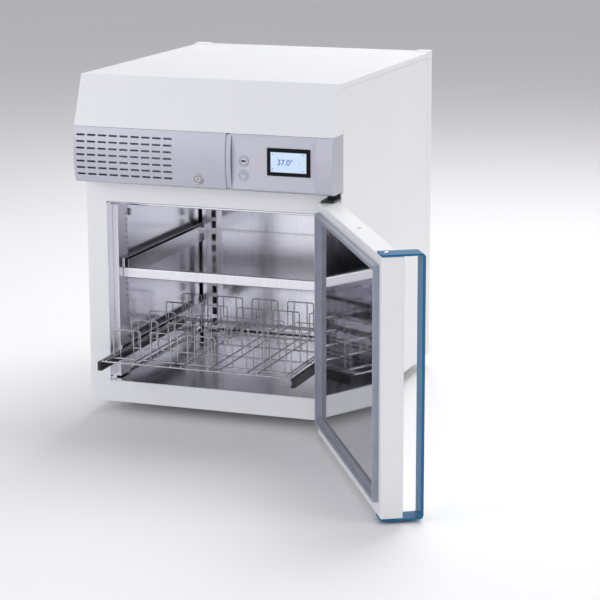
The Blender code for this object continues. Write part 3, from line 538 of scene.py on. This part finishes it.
# Standards: two slotted channels at the front of the side walls and two punched posts at the
# back. All are folded from stainless strip, and the shelf and rack rails hang from them.
satin_steel = bright_sheet("satin_stainless", 0.86, 0.30, (420, 420, 12), 0.0004)
SLOT_PITCH = 0.016
HOLE_PITCH = 0.032
for side, name in ((-1, "left"), (1, "right")):
    low, high = home_box(f"front_standard_{name}")
    opening = (-1, 0, 0) if side < 0 else (1, 0, 0)
    inward = high.x if side < 0 else low.x
    low.z, high.z = low.z + 0.003, high.z - 0.010
    cutters = []
    for number in range(int((high.z - low.z - 0.03) / SLOT_PITCH)):
        height = low.z + 0.020 + number * SLOT_PITCH
        cutters.append(stadium(high.y - 0.009, height, 0.009, 0.004, "X", inward - 0.004, inward + 0.004))
    place_piece(f"front_channel_{name}", folded_tray(low, high, opening, LINER_SHEET, 0.0018),
                satin_steel, "cabinet", [f"front_standard_{name}"],
                cuts=[together(cutters)])
    low, high = home_box(f"rear_standard_{name}")
    cutters = []
    column = low.x + 0.0235
    for number in range(int((high.z - low.z - 0.02) / HOLE_PITCH)):
        height = low.z + 0.024 + number * HOLE_PITCH
        cutters.append(block((column - 0.007, low.y - 0.002, height - 0.0105),
                             (column + 0.007, low.y + 0.004, height + 0.0105)))
    place_piece(f"rear_post_{name}", folded_tray(low, high, (0, 1, 0), LINER_SHEET, 0.0016),
                satin_steel, "cabinet", [f"rear_standard_{name}"],
                cuts=[together(cutters)])


# Thumb screws: chromed brass with a fluted rim, one in each side wall.
# They are turned by hand, to take the air guide out for cleaning.
for side, name in ((-1, "left"), (1, "right")):
    low, high = home_box(f"thumb_screw_{name}")
    radius = (high.y - low.y) / 2
    thickness = high.x - low.x
    grip = turned([(0, 0), (radius - 0.0006, 0), *arc(radius - 0.0009, 0.0009, 0.0009, -90, 0, 3),
                   *arc(radius - 0.0018, thickness - 0.0018, 0.0018, 0, 90, 4), (0, thickness)],
                  "X", (0, 0, 0), 96)
    for corner in grip.verts:
        outwards = math.hypot(corner.co.y, corner.co.z)
        if outwards > radius * 0.8:
            flute = 1 - 0.05 * (0.5 + 0.5 * math.cos(24 * math.atan2(corner.co.z, corner.co.y)))
            corner.co.y *= flute
            corner.co.z *= flute
    if side > 0:
        bmesh.ops.scale(grip, verts=grip.verts, vec=(-1, 1, 1))
        bmesh.ops.reverse_faces(grip, faces=grip.faces)
    start = low.x if side < 0 else high.x
    seat = Matrix.Translation((start, (low.y + high.y) / 2, (low.z + high.z) / 2))
    bmesh.ops.transform(grip, verts=grip.verts, matrix=seat)
    place_piece(f"fluted_screw_{name}", grip, chrome, "cabinet", [f"thumb_screw_{name}"])


# Shelf: a mirror-bright stainless sheet with upturned sides and a deep folded lip in front.
# It slides on two angle runners that hook into the standards.
mirror_level = bright_sheet("mirror_shelf_sheet", 0.62, 0.10, (9, 300, 300), 0.0002)
shelf_low, shelf_high = home_box("upper_shelf")
for name in ("left", "right"):
    low, high = home_box(f"shelf_runner_{name}")
    side = -1 if name == "left" else 1
    wall = low.x if side < 0 else high.x
    ledge = high.x if side < 0 else low.x
    angle_iron = [(wall, high.z - 0.0008), (wall, low.z), (ledge, low.z), (ledge, low.z + 0.003),
                  (wall - side * 0.003, low.z + 0.003), (wall - side * 0.003, high.z - 0.0008),
                  (wall - side * 0.0015, high.z)]
    place_piece(f"runner_angle_{name}", rounded(extruded(angle_iron, "Y", low.y, high.y), 0.0004, 2),
                satin_steel, "cabinet", [f"shelf_runner_{name}"])
RIM = 0.2665
LIP_DROP = 0.027
shelf_plate = shelf_low.z + LIP_DROP
section = [(-RIM, shelf_plate - SHEET), (RIM, shelf_plate - SHEET), (RIM, shelf_high.z),
           (RIM - SHEET, shelf_high.z), (RIM - SHEET, shelf_plate), (SHEET - RIM, shelf_plate),
           (SHEET - RIM, shelf_high.z), (-RIM, shelf_high.z)]
plate = rounded(extruded(section, "Y", shelf_low.y + SHEET, shelf_high.y), 0.0006, 3)
place_piece("shelf_sheet", plate, mirror_level, "shelf", ["upper_shelf"])
lip_top = shelf_plate + 0.0005
lip_section = [(shelf_low.y + 0.010, lip_top), *arc(shelf_low.y + 0.003, lip_top - 0.003, 0.003, 90, 180, 5),
               *arc(shelf_low.y + 0.003, shelf_low.z + 0.003, 0.003, 180, 270, 5),
               (shelf_low.y + 0.014, shelf_low.z), (shelf_low.y + 0.014, shelf_low.z + 0.0012),
               (shelf_low.y + 0.003, shelf_low.z + 0.0012), (shelf_low.y + 0.0012, shelf_low.z + 0.003),
               (shelf_low.y + 0.0012, lip_top - 0.003), (shelf_low.y + 0.010, lip_top - 0.0012)]
shelf_lip = extruded(lip_section, "X", shelf_low.x, shelf_high.x)
place_piece("shelf_lip", shelf_lip, satin_steel, "shelf")


# Wire rack: chromed spring wire, spot welded. Rows of hoops keep the stacks of dishes apart,
# and heavier wires across carry the floor.
def wire(points, radius, bend=0.0, sides=10, steps=5):
    """A round wire through points that lie in one plane, its corners bent to a radius."""
    points = [Vector(point) for point in points]
    route = [points[0]]
    for before, corner, after in zip(points, points[1:], points[2:]):
        start = corner + (before - corner).normalized() * bend
        stop = corner + (after - corner).normalized() * bend
        for step in range(steps + 1):
            share = step / steps
            route.append(start.lerp(corner, share).lerp(corner.lerp(stop, share), share))
    route.append(points[-1])
    flat = (points[1] - points[0]).cross(points[-1] - points[1])
    flat = flat.normalized() if flat.length > 1e-9 else (points[1] - points[0]).orthogonal().normalized()
    shape = bmesh.new()
    rings = []
    for index, place in enumerate(route):
        along = (route[min(index + 1, len(route) - 1)] - route[max(index - 1, 0)]).normalized()
        lift = along.cross(flat).normalized()
        ring = []
        for number in range(sides):
            turn = 2 * math.pi * number / sides
            ring.append(shape.verts.new(place + (flat * math.cos(turn) + lift * math.sin(turn)) * radius))
        rings.append(ring)
    for ring, next_ring in zip(rings, rings[1:]):
        for index in range(sides):
            following = (index + 1) % sides
            shape.faces.new((ring[index], ring[following], next_ring[following], next_ring[index]))
    shape.faces.new(rings[0])
    shape.faces.new(rings[-1])
    bmesh.ops.recalc_face_normals(shape, faces=shape.faces)
    return shape


rack_low, rack_high = home_box("wire_rack")
WIRE = 0.0020
HOOP_WIRE = 0.0016
COLUMN_PITCH = 0.105
ROW_PITCH = 0.115
HOOP_HALF = 0.038
INNER_LEG = 0.019
HOOP_BEND = 0.007
hoop_top = rack_high.z - HOOP_WIRE
floor_wire = rack_low.z + 0.0066
columns = [(number - 2) * COLUMN_PITCH for number in range(5)]
rows = [rack_low.y + 0.050 + number * ROW_PITCH for number in range(5)]
lengthwise = []
edge = rack_high.x - WIRE
for across in [-edge, edge] + [column + side * HOOP_HALF for column in columns for side in (-1, 1)]:
    ends = [(across, rack_low.y + 0.001, floor_wire), (across, rack_high.y - 0.001, floor_wire)]
    lengthwise.append(wire(ends, WIRE, sides=12))
crosswise = []
cross_wire = floor_wire - 1.8 * WIRE
for depth in [rack_low.y + 0.004, rack_high.y - 0.004] + rows:
    ends = [(rack_low.x, depth, cross_wire), (rack_high.x, depth, cross_wire)]
    crosswise.append(wire(ends, WIRE * 1.1, sides=12))
hoops = []
for depth in rows:
    for column in columns:
        left, right = column - HOOP_HALF, column + HOOP_HALF
        hoops.append(wire([(left, depth, floor_wire), (left, depth, hoop_top), (right, depth, hoop_top),
                           (right, depth, floor_wire)], HOOP_WIRE, HOOP_BEND))
        for side in (-1, 1):
            across = column + side * INNER_LEG
            ends = [(across, depth, cross_wire), (across, depth, hoop_top)]
            hoops.append(wire(ends, HOOP_WIRE * 0.9))
place_piece("rack_wires", together(lengthwise + crosswise + hoops), chrome, "rack",
            ["wire_rack"])


# Telescopic runners: rolled steel channels, coated black, with a groove along the middle.
# They carry the wire rack and slide in stainless rails on the side walls.
for name in ("left", "right"):
    side = -1 if name == "left" else 1
    low, high = home_box(f"rack_runner_{name}")
    outer, inner = (low.x, high.x) if side < 0 else (high.x, low.x)
    middle = (low.z + high.z) / 2
    groove = inner + side * 0.003
    section = [(outer, low.z), (inner, low.z), (inner, middle - 0.006), (groove, middle - 0.005),
               (groove, middle + 0.005), (inner, middle + 0.006), (inner, high.z), (outer, high.z)]
    place_piece(f"runner_channel_{name}", rounded(extruded(section, "Y", low.y, high.y), 0.0007, 2),
                black_coat, "rack_carriage", [f"rack_runner_{name}"])
dress(satin_steel, "rack_rail_left", "rack_rail_right")


# Door: a coated steel shell filled with foam, with softly rounded edges. Its inner face has a
# white border round the gasket, and a recessed mirror-polished sheet.
hinge = next(joint for joint in frame["joints"] if joint["name"] == "door_hinge")
pivot = Vector(hinge["pos_m"])
door_open = math.radians(-hinge["range_deg"][0])
SWING = Matrix.Translation(pivot) @ Matrix.Rotation(door_open, 4, "Z") @ Matrix.Translation(-pivot) @ AT_HOME


def shut_box(node):
    """A door node's box with the door shut, measured from the same place as home_box."""
    back = SWING.inverted()
    corners = [back @ vertex.co for vertex in frame["nodes"][node].data.vertices]
    low = Vector([min(corner[axis] for corner in corners) for axis in range(3)])
    high = Vector([max(corner[axis] for corner in corners) for axis in range(3)])
    return low, high


DOOR_ROUND = 0.0028
DOOR_EDGE_STEPS = 4
door_low, door_high = shut_box("door_outer_shell")
panel_low, panel_high = shut_box("door_inner_panel")
gasket_low, gasket_high = shut_box("door_gasket")
shell = block(door_low, door_high)
rounded(shell, DOOR_ROUND, DOOR_EDGE_STEPS)
pocket = block((panel_low.x - 0.0003, panel_low.y - 0.004, panel_low.z - 0.0003),
               (panel_high.x + 0.0003, door_high.y + 0.01, panel_high.z + 0.0003))
home_pivot = pivot - HOME
bores = []
for start, stop in ((door_high.z - 0.018, door_high.z + 0.01), (door_low.z - 0.01, door_low.z + 0.018)):
    bores.append(turned([(0, start), (0.0046, start), (0.0046, stop), (0, stop)], "Z",
                        (home_pivot.x, home_pivot.y, 0), 32))
bolt_low, bolt_high = home_box("lock_bolt")
keeper = block((bolt_low.x - 0.0015, bolt_low.y - 0.0015, door_high.z - 0.014),
               (bolt_high.x + 0.0015, bolt_high.y + 0.0015, door_high.z + 0.01))
place_piece("door_shell", shell, white_coat, "door", ["door_outer_shell"], SWING,
            cuts=[pocket, together(bores + [keeper])])
mirror_upright = bright_sheet("mirror_door_sheet", 0.66, 0.06, (300, 300, 6), 0.0003)
panel = block(panel_low, panel_high)
rounded(panel, 0.0005, 2)
place_piece("door_mirror", panel, mirror_upright, "door", ["door_inner_panel"], SWING)


# Gasket: blue-grey extruded silicone with a magnet core. Two soft lips stand beside two deep
# grooves, and the four lengths are welded at mitred corners.
gasket_rubber = Finish("gasket_silicone", (0.36, 0.39, 0.47), 0.5, Sheen_Weight=0.15)
gasket_rubber.tones((0.24, 0.25, 0.31), (0.34, 0.355, 0.43), gasket_rubber.noise(40, 4))
gasket_rubber.set("Roughness", gasket_rubber.noise(70, 3) * 0.2 + 0.42)
gasket_rubber.relief(gasket_rubber.noise(900, 2), 0.0001, 0.4)
GASKET_WIDTH = 0.017
base = gasket_low.y
tip = gasket_high.y
LIP_ROUND = 0.0016
section = [(0, base), (0, tip - 0.0060), (0.0006, tip - 0.0045),
           *arc(0.0024, tip - LIP_ROUND, LIP_ROUND, 180, 90, 4),
           *arc(0.0062, tip - LIP_ROUND, LIP_ROUND, 90, 0, 4), (0.0078, tip - 0.0085), (0.0088, tip - 0.0095),
           (0.0098, tip - 0.0085), *arc(0.0112, tip - 0.0026, 0.0012, 180, 0, 6), (0.0124, tip - 0.0090),
           (0.0134, tip - 0.0105), (0.0144, tip - 0.0090), *arc(0.0156, tip - 0.0058, 0.0010, 180, 0, 5),
           (GASKET_WIDTH, base)]
gasket = framed((gasket_low.x, gasket_low.z), (gasket_high.x, gasket_high.z), section)
place_piece("gasket_lips", gasket, gasket_rubber, "door", ["door_gasket"], SWING)


# Handle: one flat steel strip over the whole height of the door, bent at both ends, coated
# blue, and screwed to the top and the bottom of the door.
blue_coat = Finish("blue_powder_coat", (0.002, 0.13, 0.28), 0.45, Specular_IOR_Level=0.3)
blue_coat.tones((0.0015, 0.110, 0.250), (0.003, 0.150, 0.320), blue_coat.noise(30, 3))
blue_coat.set("Roughness", blue_coat.noise(60, 3) * 0.12 + 0.28)
blue_coat.relief(blue_coat.noise(1200, 1), 0.00006, 0.3)
handle_low, handle_high = shut_box("door_handle")
OUTER_BEND = 0.010
INNER_BEND = 0.004
BAR = 0.007
LEG = 0.005
front, rear = handle_low.y, handle_high.y
top, bottom = handle_high.z, handle_low.z
strip = [(rear, top), *arc(front + OUTER_BEND, top - OUTER_BEND, OUTER_BEND, 90, 180, 8),
         *arc(front + OUTER_BEND, bottom + OUTER_BEND, OUTER_BEND, 180, 270, 8), (rear, bottom),
         (rear, bottom + LEG),
         *arc(front + BAR + INNER_BEND, bottom + LEG + INNER_BEND, INNER_BEND, 270, 180, 5),
         *arc(front + BAR + INNER_BEND, top - LEG - INNER_BEND, INNER_BEND, 180, 90, 5), (rear, top - LEG)]
handle = rounded(extruded(strip, "X", handle_low.x, handle_high.x), 0.0009, 3)
place_piece("handle_strip", handle, blue_coat, "door", ["door_handle"], SWING)


# Handle screws: chromed steel screws with a hexagon socket.
# One at the top and one at the bottom clamp the bent ends of the handle to the door.
for name in ("top", "bottom"):
    low, high = shut_box(f"handle_screw_{name}")
    middle = (low + high) / 2
    radius = (high.x - low.x) / 2
    side = 1 if name == "top" else -1
    face_z, crown = (low.z, high.z) if side > 0 else (high.z, low.z)
    drive = radius * 0.45
    head = [(0, crown - side * 0.0018), (drive, crown - side * 0.0018), (drive, crown),
            (radius * 0.7, crown), (radius * 0.92, crown - side * 0.0008), (radius, face_z), (0, face_z)]
    place_piece(f"socket_screw_{name}", turned(head, "Z", (middle.x, middle.y, 0), 36), chrome,
                "door", [f"handle_screw_{name}"], SWING)


# Hinges: black coated steel brackets, screwed to the cabinet above and below the door.
# Each has its pin pressed in, and the pin stands in the door.
dress(black_coat, "hinge_bracket_lower", "hinge_bracket_upper")


# Head: a folded sheet fascia, coated white, that leans back over a housing.
# It is fastened from behind, and hides the front edge of the top panel.
def profile_hull(node, name, finish, points, radius):
    low, high = home_box(node)
    shape = rounded(extruded(points, "X", low.x, high.x), radius, 4)
    return place_piece(name, shape, finish, "cabinet", [node])


fascia_low, fascia_high = home_box("head_fascia")
lid_low, lid_high = home_box("top_panel")
fascia = [(lid_low.y - 0.0025, fascia_high.z), (fascia_low.y, fascia_low.z), (fascia_high.y, fascia_low.z),
          (fascia_high.y, lid_low.z - 0.0003), (lid_low.y - 0.0003, lid_low.z - 0.0003),
          (lid_low.y - 0.0003, fascia_high.z)]
profile_hull("head_fascia", "fascia", white_coat, fascia, 0.0010)
silver_coat = Finish("silver_coat", (0.56, 0.56, 0.61), 0.36, 0.35)
silver_coat.tones((0.47, 0.46, 0.53), (0.53, 0.52, 0.59), silver_coat.noise(6, 3))
flakes = silver_coat.noise(1500, 1)
silver_coat.set("Roughness", flakes * 0.2 + 0.30)
silver_coat.relief(flakes, 0.00008, 0.3)
dress(silver_coat, "head_housing")


# Grille cover: a bowed silver moulding over the left of the housing, with seven rows of air
# slots and a round hole for the lock.
BOW = 0.0095
COVER_WALL = 0.002


def bowed(low, high, inset, steps=20):
    """The bowed front of a silver cover, from above to below, with a rounded lower edge."""
    top, bottom = high.z - inset, low.z + inset
    flat = low.y + BOW
    shoulder = bottom + 0.006
    middle, half = (top + shoulder) / 2, (top - shoulder) / 2
    points = [(high.y, top)]
    for step in range(steps + 1):
        height = top - (top - shoulder) * step / steps
        points.append((flat - BOW * (1 - ((height - middle) / half) ** 2) + inset, height))
    points += arc(flat + 0.006 + inset, shoulder, 0.006, 180, 270, 5)[1:]
    points.append((high.y, bottom))
    return points


def silver_cover(low, high):
    """A silver cover with softened ends, and the hollow that is cut from it."""
    cover = extruded(bowed(low, high, 0), "X", low.x, high.x)

    def at_an_end(edge):
        first, second = edge.verts
        across = first.co.x
        level = abs(across - second.co.x) < 1e-6
        outermost = min(abs(across - low.x), abs(across - high.x)) < 1e-6
        return level and outermost and max(first.co.y, second.co.y) < high.y - 0.001

    rounded(cover, 0.0020, 3, at_an_end)
    inside = [(0.0 if depth == high.y else depth, height)
              for depth, height in bowed(low, high, COVER_WALL)]
    return cover, extruded(inside, "X", low.x + COVER_WALL, high.x - COVER_WALL)


grille_low, grille_high = home_box("grille_cover")
cover, hollow = silver_cover(grille_low, grille_high)
SLOT_ROWS = 7
SLOT_COLUMNS = 9
slots = []
for row in range(SLOT_ROWS):
    for column in range(SLOT_COLUMNS):
        across = grille_low.x + 0.0203 + column * 0.0305
        slots.append(stadium(across, 0.7275 - row * 0.0170, 0.0245, 0.0050, "Y", -0.09, -0.055))
lock_low, lock_high = home_box("lock_escutcheon")
lock = (lock_low + lock_high) / 2
lock_hole = turned([(0, -0.09), (0.0135, -0.09), (0.0135, -0.055), (0, -0.055)], "Y", (lock.x, 0, lock.z), 48)
place_piece("grille", cover, silver_coat, "cabinet", ["grille_cover"],
            cuts=[hollow, together(slots), lock_hole])


# Joint strip: a narrow bowed strip, set back in the joint between the two silver covers, that
# closes the gap between them.
control_low, control_high = home_box("control_panel")
joint = bowed(control_low, control_high, 0.0022)
place_piece("joint_strip", extruded(joint, "X", grille_high.x + 0.0006, control_low.x - 0.0003),
            silver_coat, "cabinet")


# Lock: a chromed escutcheon round a turning cylinder with a keyway.
# A nut behind the grille cover holds both, and the cylinder drives the bolt.
escutcheon = [(0.0090, lock_low.y + 0.001), *arc(0.0100, lock_low.y + 0.001, 0.001, 180, 270, 3),
              *arc(0.0118, lock_low.y + 0.0014, 0.0014, 270, 360, 5), (0.0132, lock_high.y),
              (0.0090, lock_high.y), (0.0090, lock_low.y + 0.001)]
place_piece("lock_ring", turned(escutcheon, "Y", (lock.x, 0, lock.z)), chrome, "cabinet",
            ["lock_escutcheon"])
low, high = home_box("lock_cylinder")
cylinder = [(0, low.y), (0.0078, low.y), (0.0087, low.y + 0.0009), (0.0087, high.y), (0, high.y)]
key_slot = block((lock.x - 0.0009, low.y - 0.005, lock.z - 0.0050),
                 (lock.x + 0.0009, low.y + 0.004, lock.z + 0.0050))
key_ward = block((lock.x - 0.0022, low.y - 0.004, lock.z - 0.0012),
                 (lock.x + 0.0004, low.y + 0.0039, lock.z + 0.0002))
place_piece("key_cylinder", turned(cylinder, "Y", (lock.x, 0, lock.z)), chrome, "lock_turner",
            ["lock_cylinder"], cuts=[key_slot, key_ward])
dress(zinc, "lock_bolt")


# Control panel: a bowed silver moulding, rounded off at its right end.
# A window in it shows the flat control plate, which is set in from behind.
cover, hollow = silver_cover(control_low, control_high)
plate_low, plate_high = home_box("control_plate")
window = block((plate_low.x - 0.0003, -0.10, plate_low.z - 0.0003),
               (plate_high.x + 0.0003, -0.045, plate_high.z + 0.0003))
place_piece("control_cover", cover, silver_coat, "cabinet", ["control_panel"],
            cuts=[window, hollow])
plate_coat = Finish("control_plate_coat", (0.62, 0.62, 0.67), 0.40, 0.15)
plate_coat.tones((0.52, 0.51, 0.58), (0.57, 0.56, 0.63), plate_coat.noise(8, 3))
plate_coat.relief(plate_coat.noise(1500, 1), 0.00006, 0.3)
port_low, port_high = home_box("data_port_ring")
ring_low, ring_high = home_box("button_ring")
bezel_low, bezel_high = home_box("display_bezel")
PLATE_GAP = 0.0003
holes = [block((bezel_low.x - PLATE_GAP, -0.10, bezel_low.z - PLATE_GAP),
               (bezel_high.x + PLATE_GAP, -0.05, bezel_high.z + PLATE_GAP))]
for low, high in ((port_low, port_high), (ring_low, ring_high)):
    reach = (high.x - low.x) / 2 + PLATE_GAP
    holes.append(turned([(0, -0.10), (reach, -0.10), (reach, -0.05), (0, -0.05)], "Y",
                        ((low.x + high.x) / 2, 0, (low.z + high.z) / 2), 48))
place_piece("control_face", block(plate_low, plate_high), plate_coat, "cabinet", ["control_plate"],
            cuts=[together(holes)])


# Rings, port and push button: two satin silver rings pressed into the plate.
# One frames the data port's insert, and the other guides the sprung button.
for node, name, low, high, bore in (("data_port_ring", "port_ring", port_low, port_high, 0.0100),
                                    ("button_ring", "push_ring", ring_low, ring_high, 0.0088)):
    reach = (high.x - low.x) / 2
    ring = [(bore, low.y + 0.0008), *arc(bore + 0.0008, low.y + 0.0008, 0.0008, 180, 270, 3),
            *arc(reach - 0.0012, low.y + 0.0012, 0.0012, 270, 360, 4), (reach, high.y), (bore, high.y),
            (bore, low.y + 0.0008)]
    place_piece(name, turned(ring, "Y", ((low.x + high.x) / 2, 0, (low.z + high.z) / 2)), silver_coat,
                "cabinet", [node])
low, high = home_box("data_port_insert")
middle = (low + high) / 2
insert = turned([(0, low.y + 0.0006), (0.0090, low.y + 0.0006), (0.0097, low.y + 0.0012),
                 (0.0097, high.y), (0, high.y)], "Y", (middle.x, 0, middle.z))
socket = block((middle.x - 0.0062, low.y - 0.002, middle.z - 0.0026),
               (middle.x + 0.0062, low.y + 0.004, middle.z + 0.0026))
place_piece("port_insert", insert, plate_coat, "cabinet", ["data_port_insert"],
            cuts=[socket])
place_piece("port_socket", block((middle.x - 0.0060, low.y + 0.0030, middle.z - 0.0024),
                                 (middle.x + 0.0060, low.y + 0.0038, middle.z + 0.0024)), black_plastic,
            "cabinet")
low, high = home_box("power_button")
middle = (low + high) / 2
cap = [(0, low.y + 0.0012), *arc(0, low.y + 0.0200, 0.0190, 270, 280, 3)[1:],
       *arc(0.0070, low.y + 0.0016, 0.0015, 270, 360, 4), (0.0085, high.y), (0, high.y)]
place_piece("push_button", turned(cap, "Y", (middle.x, 0, middle.z)), silver_coat, "button",
            ["power_button"])


# Display: a lit panel clipped behind a gloss black bezel with rounded lips.
# It shows the chamber's temperature and a few plain marks.
BEZEL_INNER = 0.0070
LENS_LIP = 0.0027
profile = [(0, bezel_high.y), (0, bezel_low.y + 0.001),
           *arc(0.001, bezel_low.y + 0.001, 0.001, 180, 270, 3),
           (BEZEL_INNER + LENS_LIP, bezel_low.y), (BEZEL_INNER + LENS_LIP, bezel_low.y + 0.0005),
           (BEZEL_INNER, bezel_low.y + 0.0005), (BEZEL_INNER, bezel_high.y)]
bezel = framed((bezel_low.x, bezel_low.z), (bezel_high.x, bezel_high.z), profile)
gloss_black = Finish("gloss_black_bezel", (0.002, 0.002, 0.003), 0.45, Specular_IOR_Level=0.15)
gloss_black.tones((0.001, 0.001, 0.002), (0.004, 0.004, 0.005), gloss_black.noise(60, 2))
place_piece("bezel", bezel, gloss_black, "cabinet", ["display_bezel"])
screen_low, screen_high = home_box("display_screen")
lit = Finish("lit_display", (0.30, 0.38, 0.50), 0.25, Emission_Strength=0.50)
glow = {"Factor": lit.noise(30, 2), 6: (0.60, 0.76, 0.93, 1), 7: (0.74, 0.85, 0.96, 1)}
lit.set("Emission Color", lit.add("Mix", {"data_type": "RGBA"}, glow, 2))
place_piece("screen_panel", rounded(block(screen_low, screen_high), 0.0004, 2), lit, "cabinet",
            ["display_screen"])
ink = Finish("display_ink", (0.10, 0.14, 0.38), 0.4, Emission_Strength=0.45)
ink.tones((0.05, 0.09, 0.33), (0.07, 0.12, 0.40), ink.noise(200, 2))
ink.set("Emission Color", (0.10, 0.16, 0.55, 1))
reading = bpy.data.curves.new("reading", "FONT")
reading.body = "37.0°"
reading.size = 0.0200
reading.extrude = 0.0001
reading.offset = 0.0003
words = bpy.data.objects.new("reading", reading)
scene.collection.objects.link(words)
bpy.context.view_layer.update()
digits = bmesh.new()
digits.from_mesh(words.to_mesh())
words.to_mesh_clear()
bpy.data.objects.remove(words)
bmesh.ops.rotate(digits, verts=digits.verts, matrix=Matrix.Rotation(math.pi / 2, 3, "X"))
bmesh.ops.translate(digits, verts=digits.verts,
                    vec=(screen_low.x + 0.020, screen_low.y - 0.0002, screen_low.z + 0.0210))
marks = [digits]
for across, height, wide, tall in ((0.0060, 0.0470, 0.0030, 0.0020), (0.0870, 0.0470, 0.0060, 0.0016),
                                   (0.0820, 0.0060, 0.0110, 0.0012), (0.0060, 0.0070, 0.0016, 0.0060),
                                   (0.0800, 0.0180, 0.0005, 0.0140)):
    marks.append(block((screen_low.x + across, screen_low.y - 0.0003, screen_low.z + height),
                       (screen_low.x + across + wide, screen_low.y - 0.0001, screen_low.z + height + tall)))
place_piece("display_marks", together(marks), ink, "cabinet")


# Electrical pieces: the tray with supply and board over the chamber, and the mains inlet with
# its pins beside the rocker switch on the rear panel.
board = Finish("circuit_board", (0.02, 0.20, 0.08), 0.45)
board.tones((0.012, 0.14, 0.05), (0.03, 0.26, 0.11), board.noise(150, 4))
dress(zinc, "electronics_tray", "power_supply")
dress(board, "controller_board")
low, high = home_box("power_inlet")
inlet = folded_tray(low, high, (0, 1, 0), 0.0025, 0.0012)
place_piece("inlet_body", inlet, black_plastic, "cabinet", ["power_inlet"])
middle = (low + high) / 2
pins = []
for across, height in ((-0.0070, -0.002), (0, 0.002), (0.0070, -0.002)):
    pin = block((middle.x + across - 0.0010, low.y + 0.002, middle.z + height - 0.002),
                (middle.x + across + 0.0010, high.y - 0.004, middle.z + height + 0.002))
    pins.append(rounded(pin, 0.0003, 2))
place_piece("inlet_pins", together(pins), chrome, "cabinet")
dress(black_plastic, "mains_switch_frame", "mains_rocker")
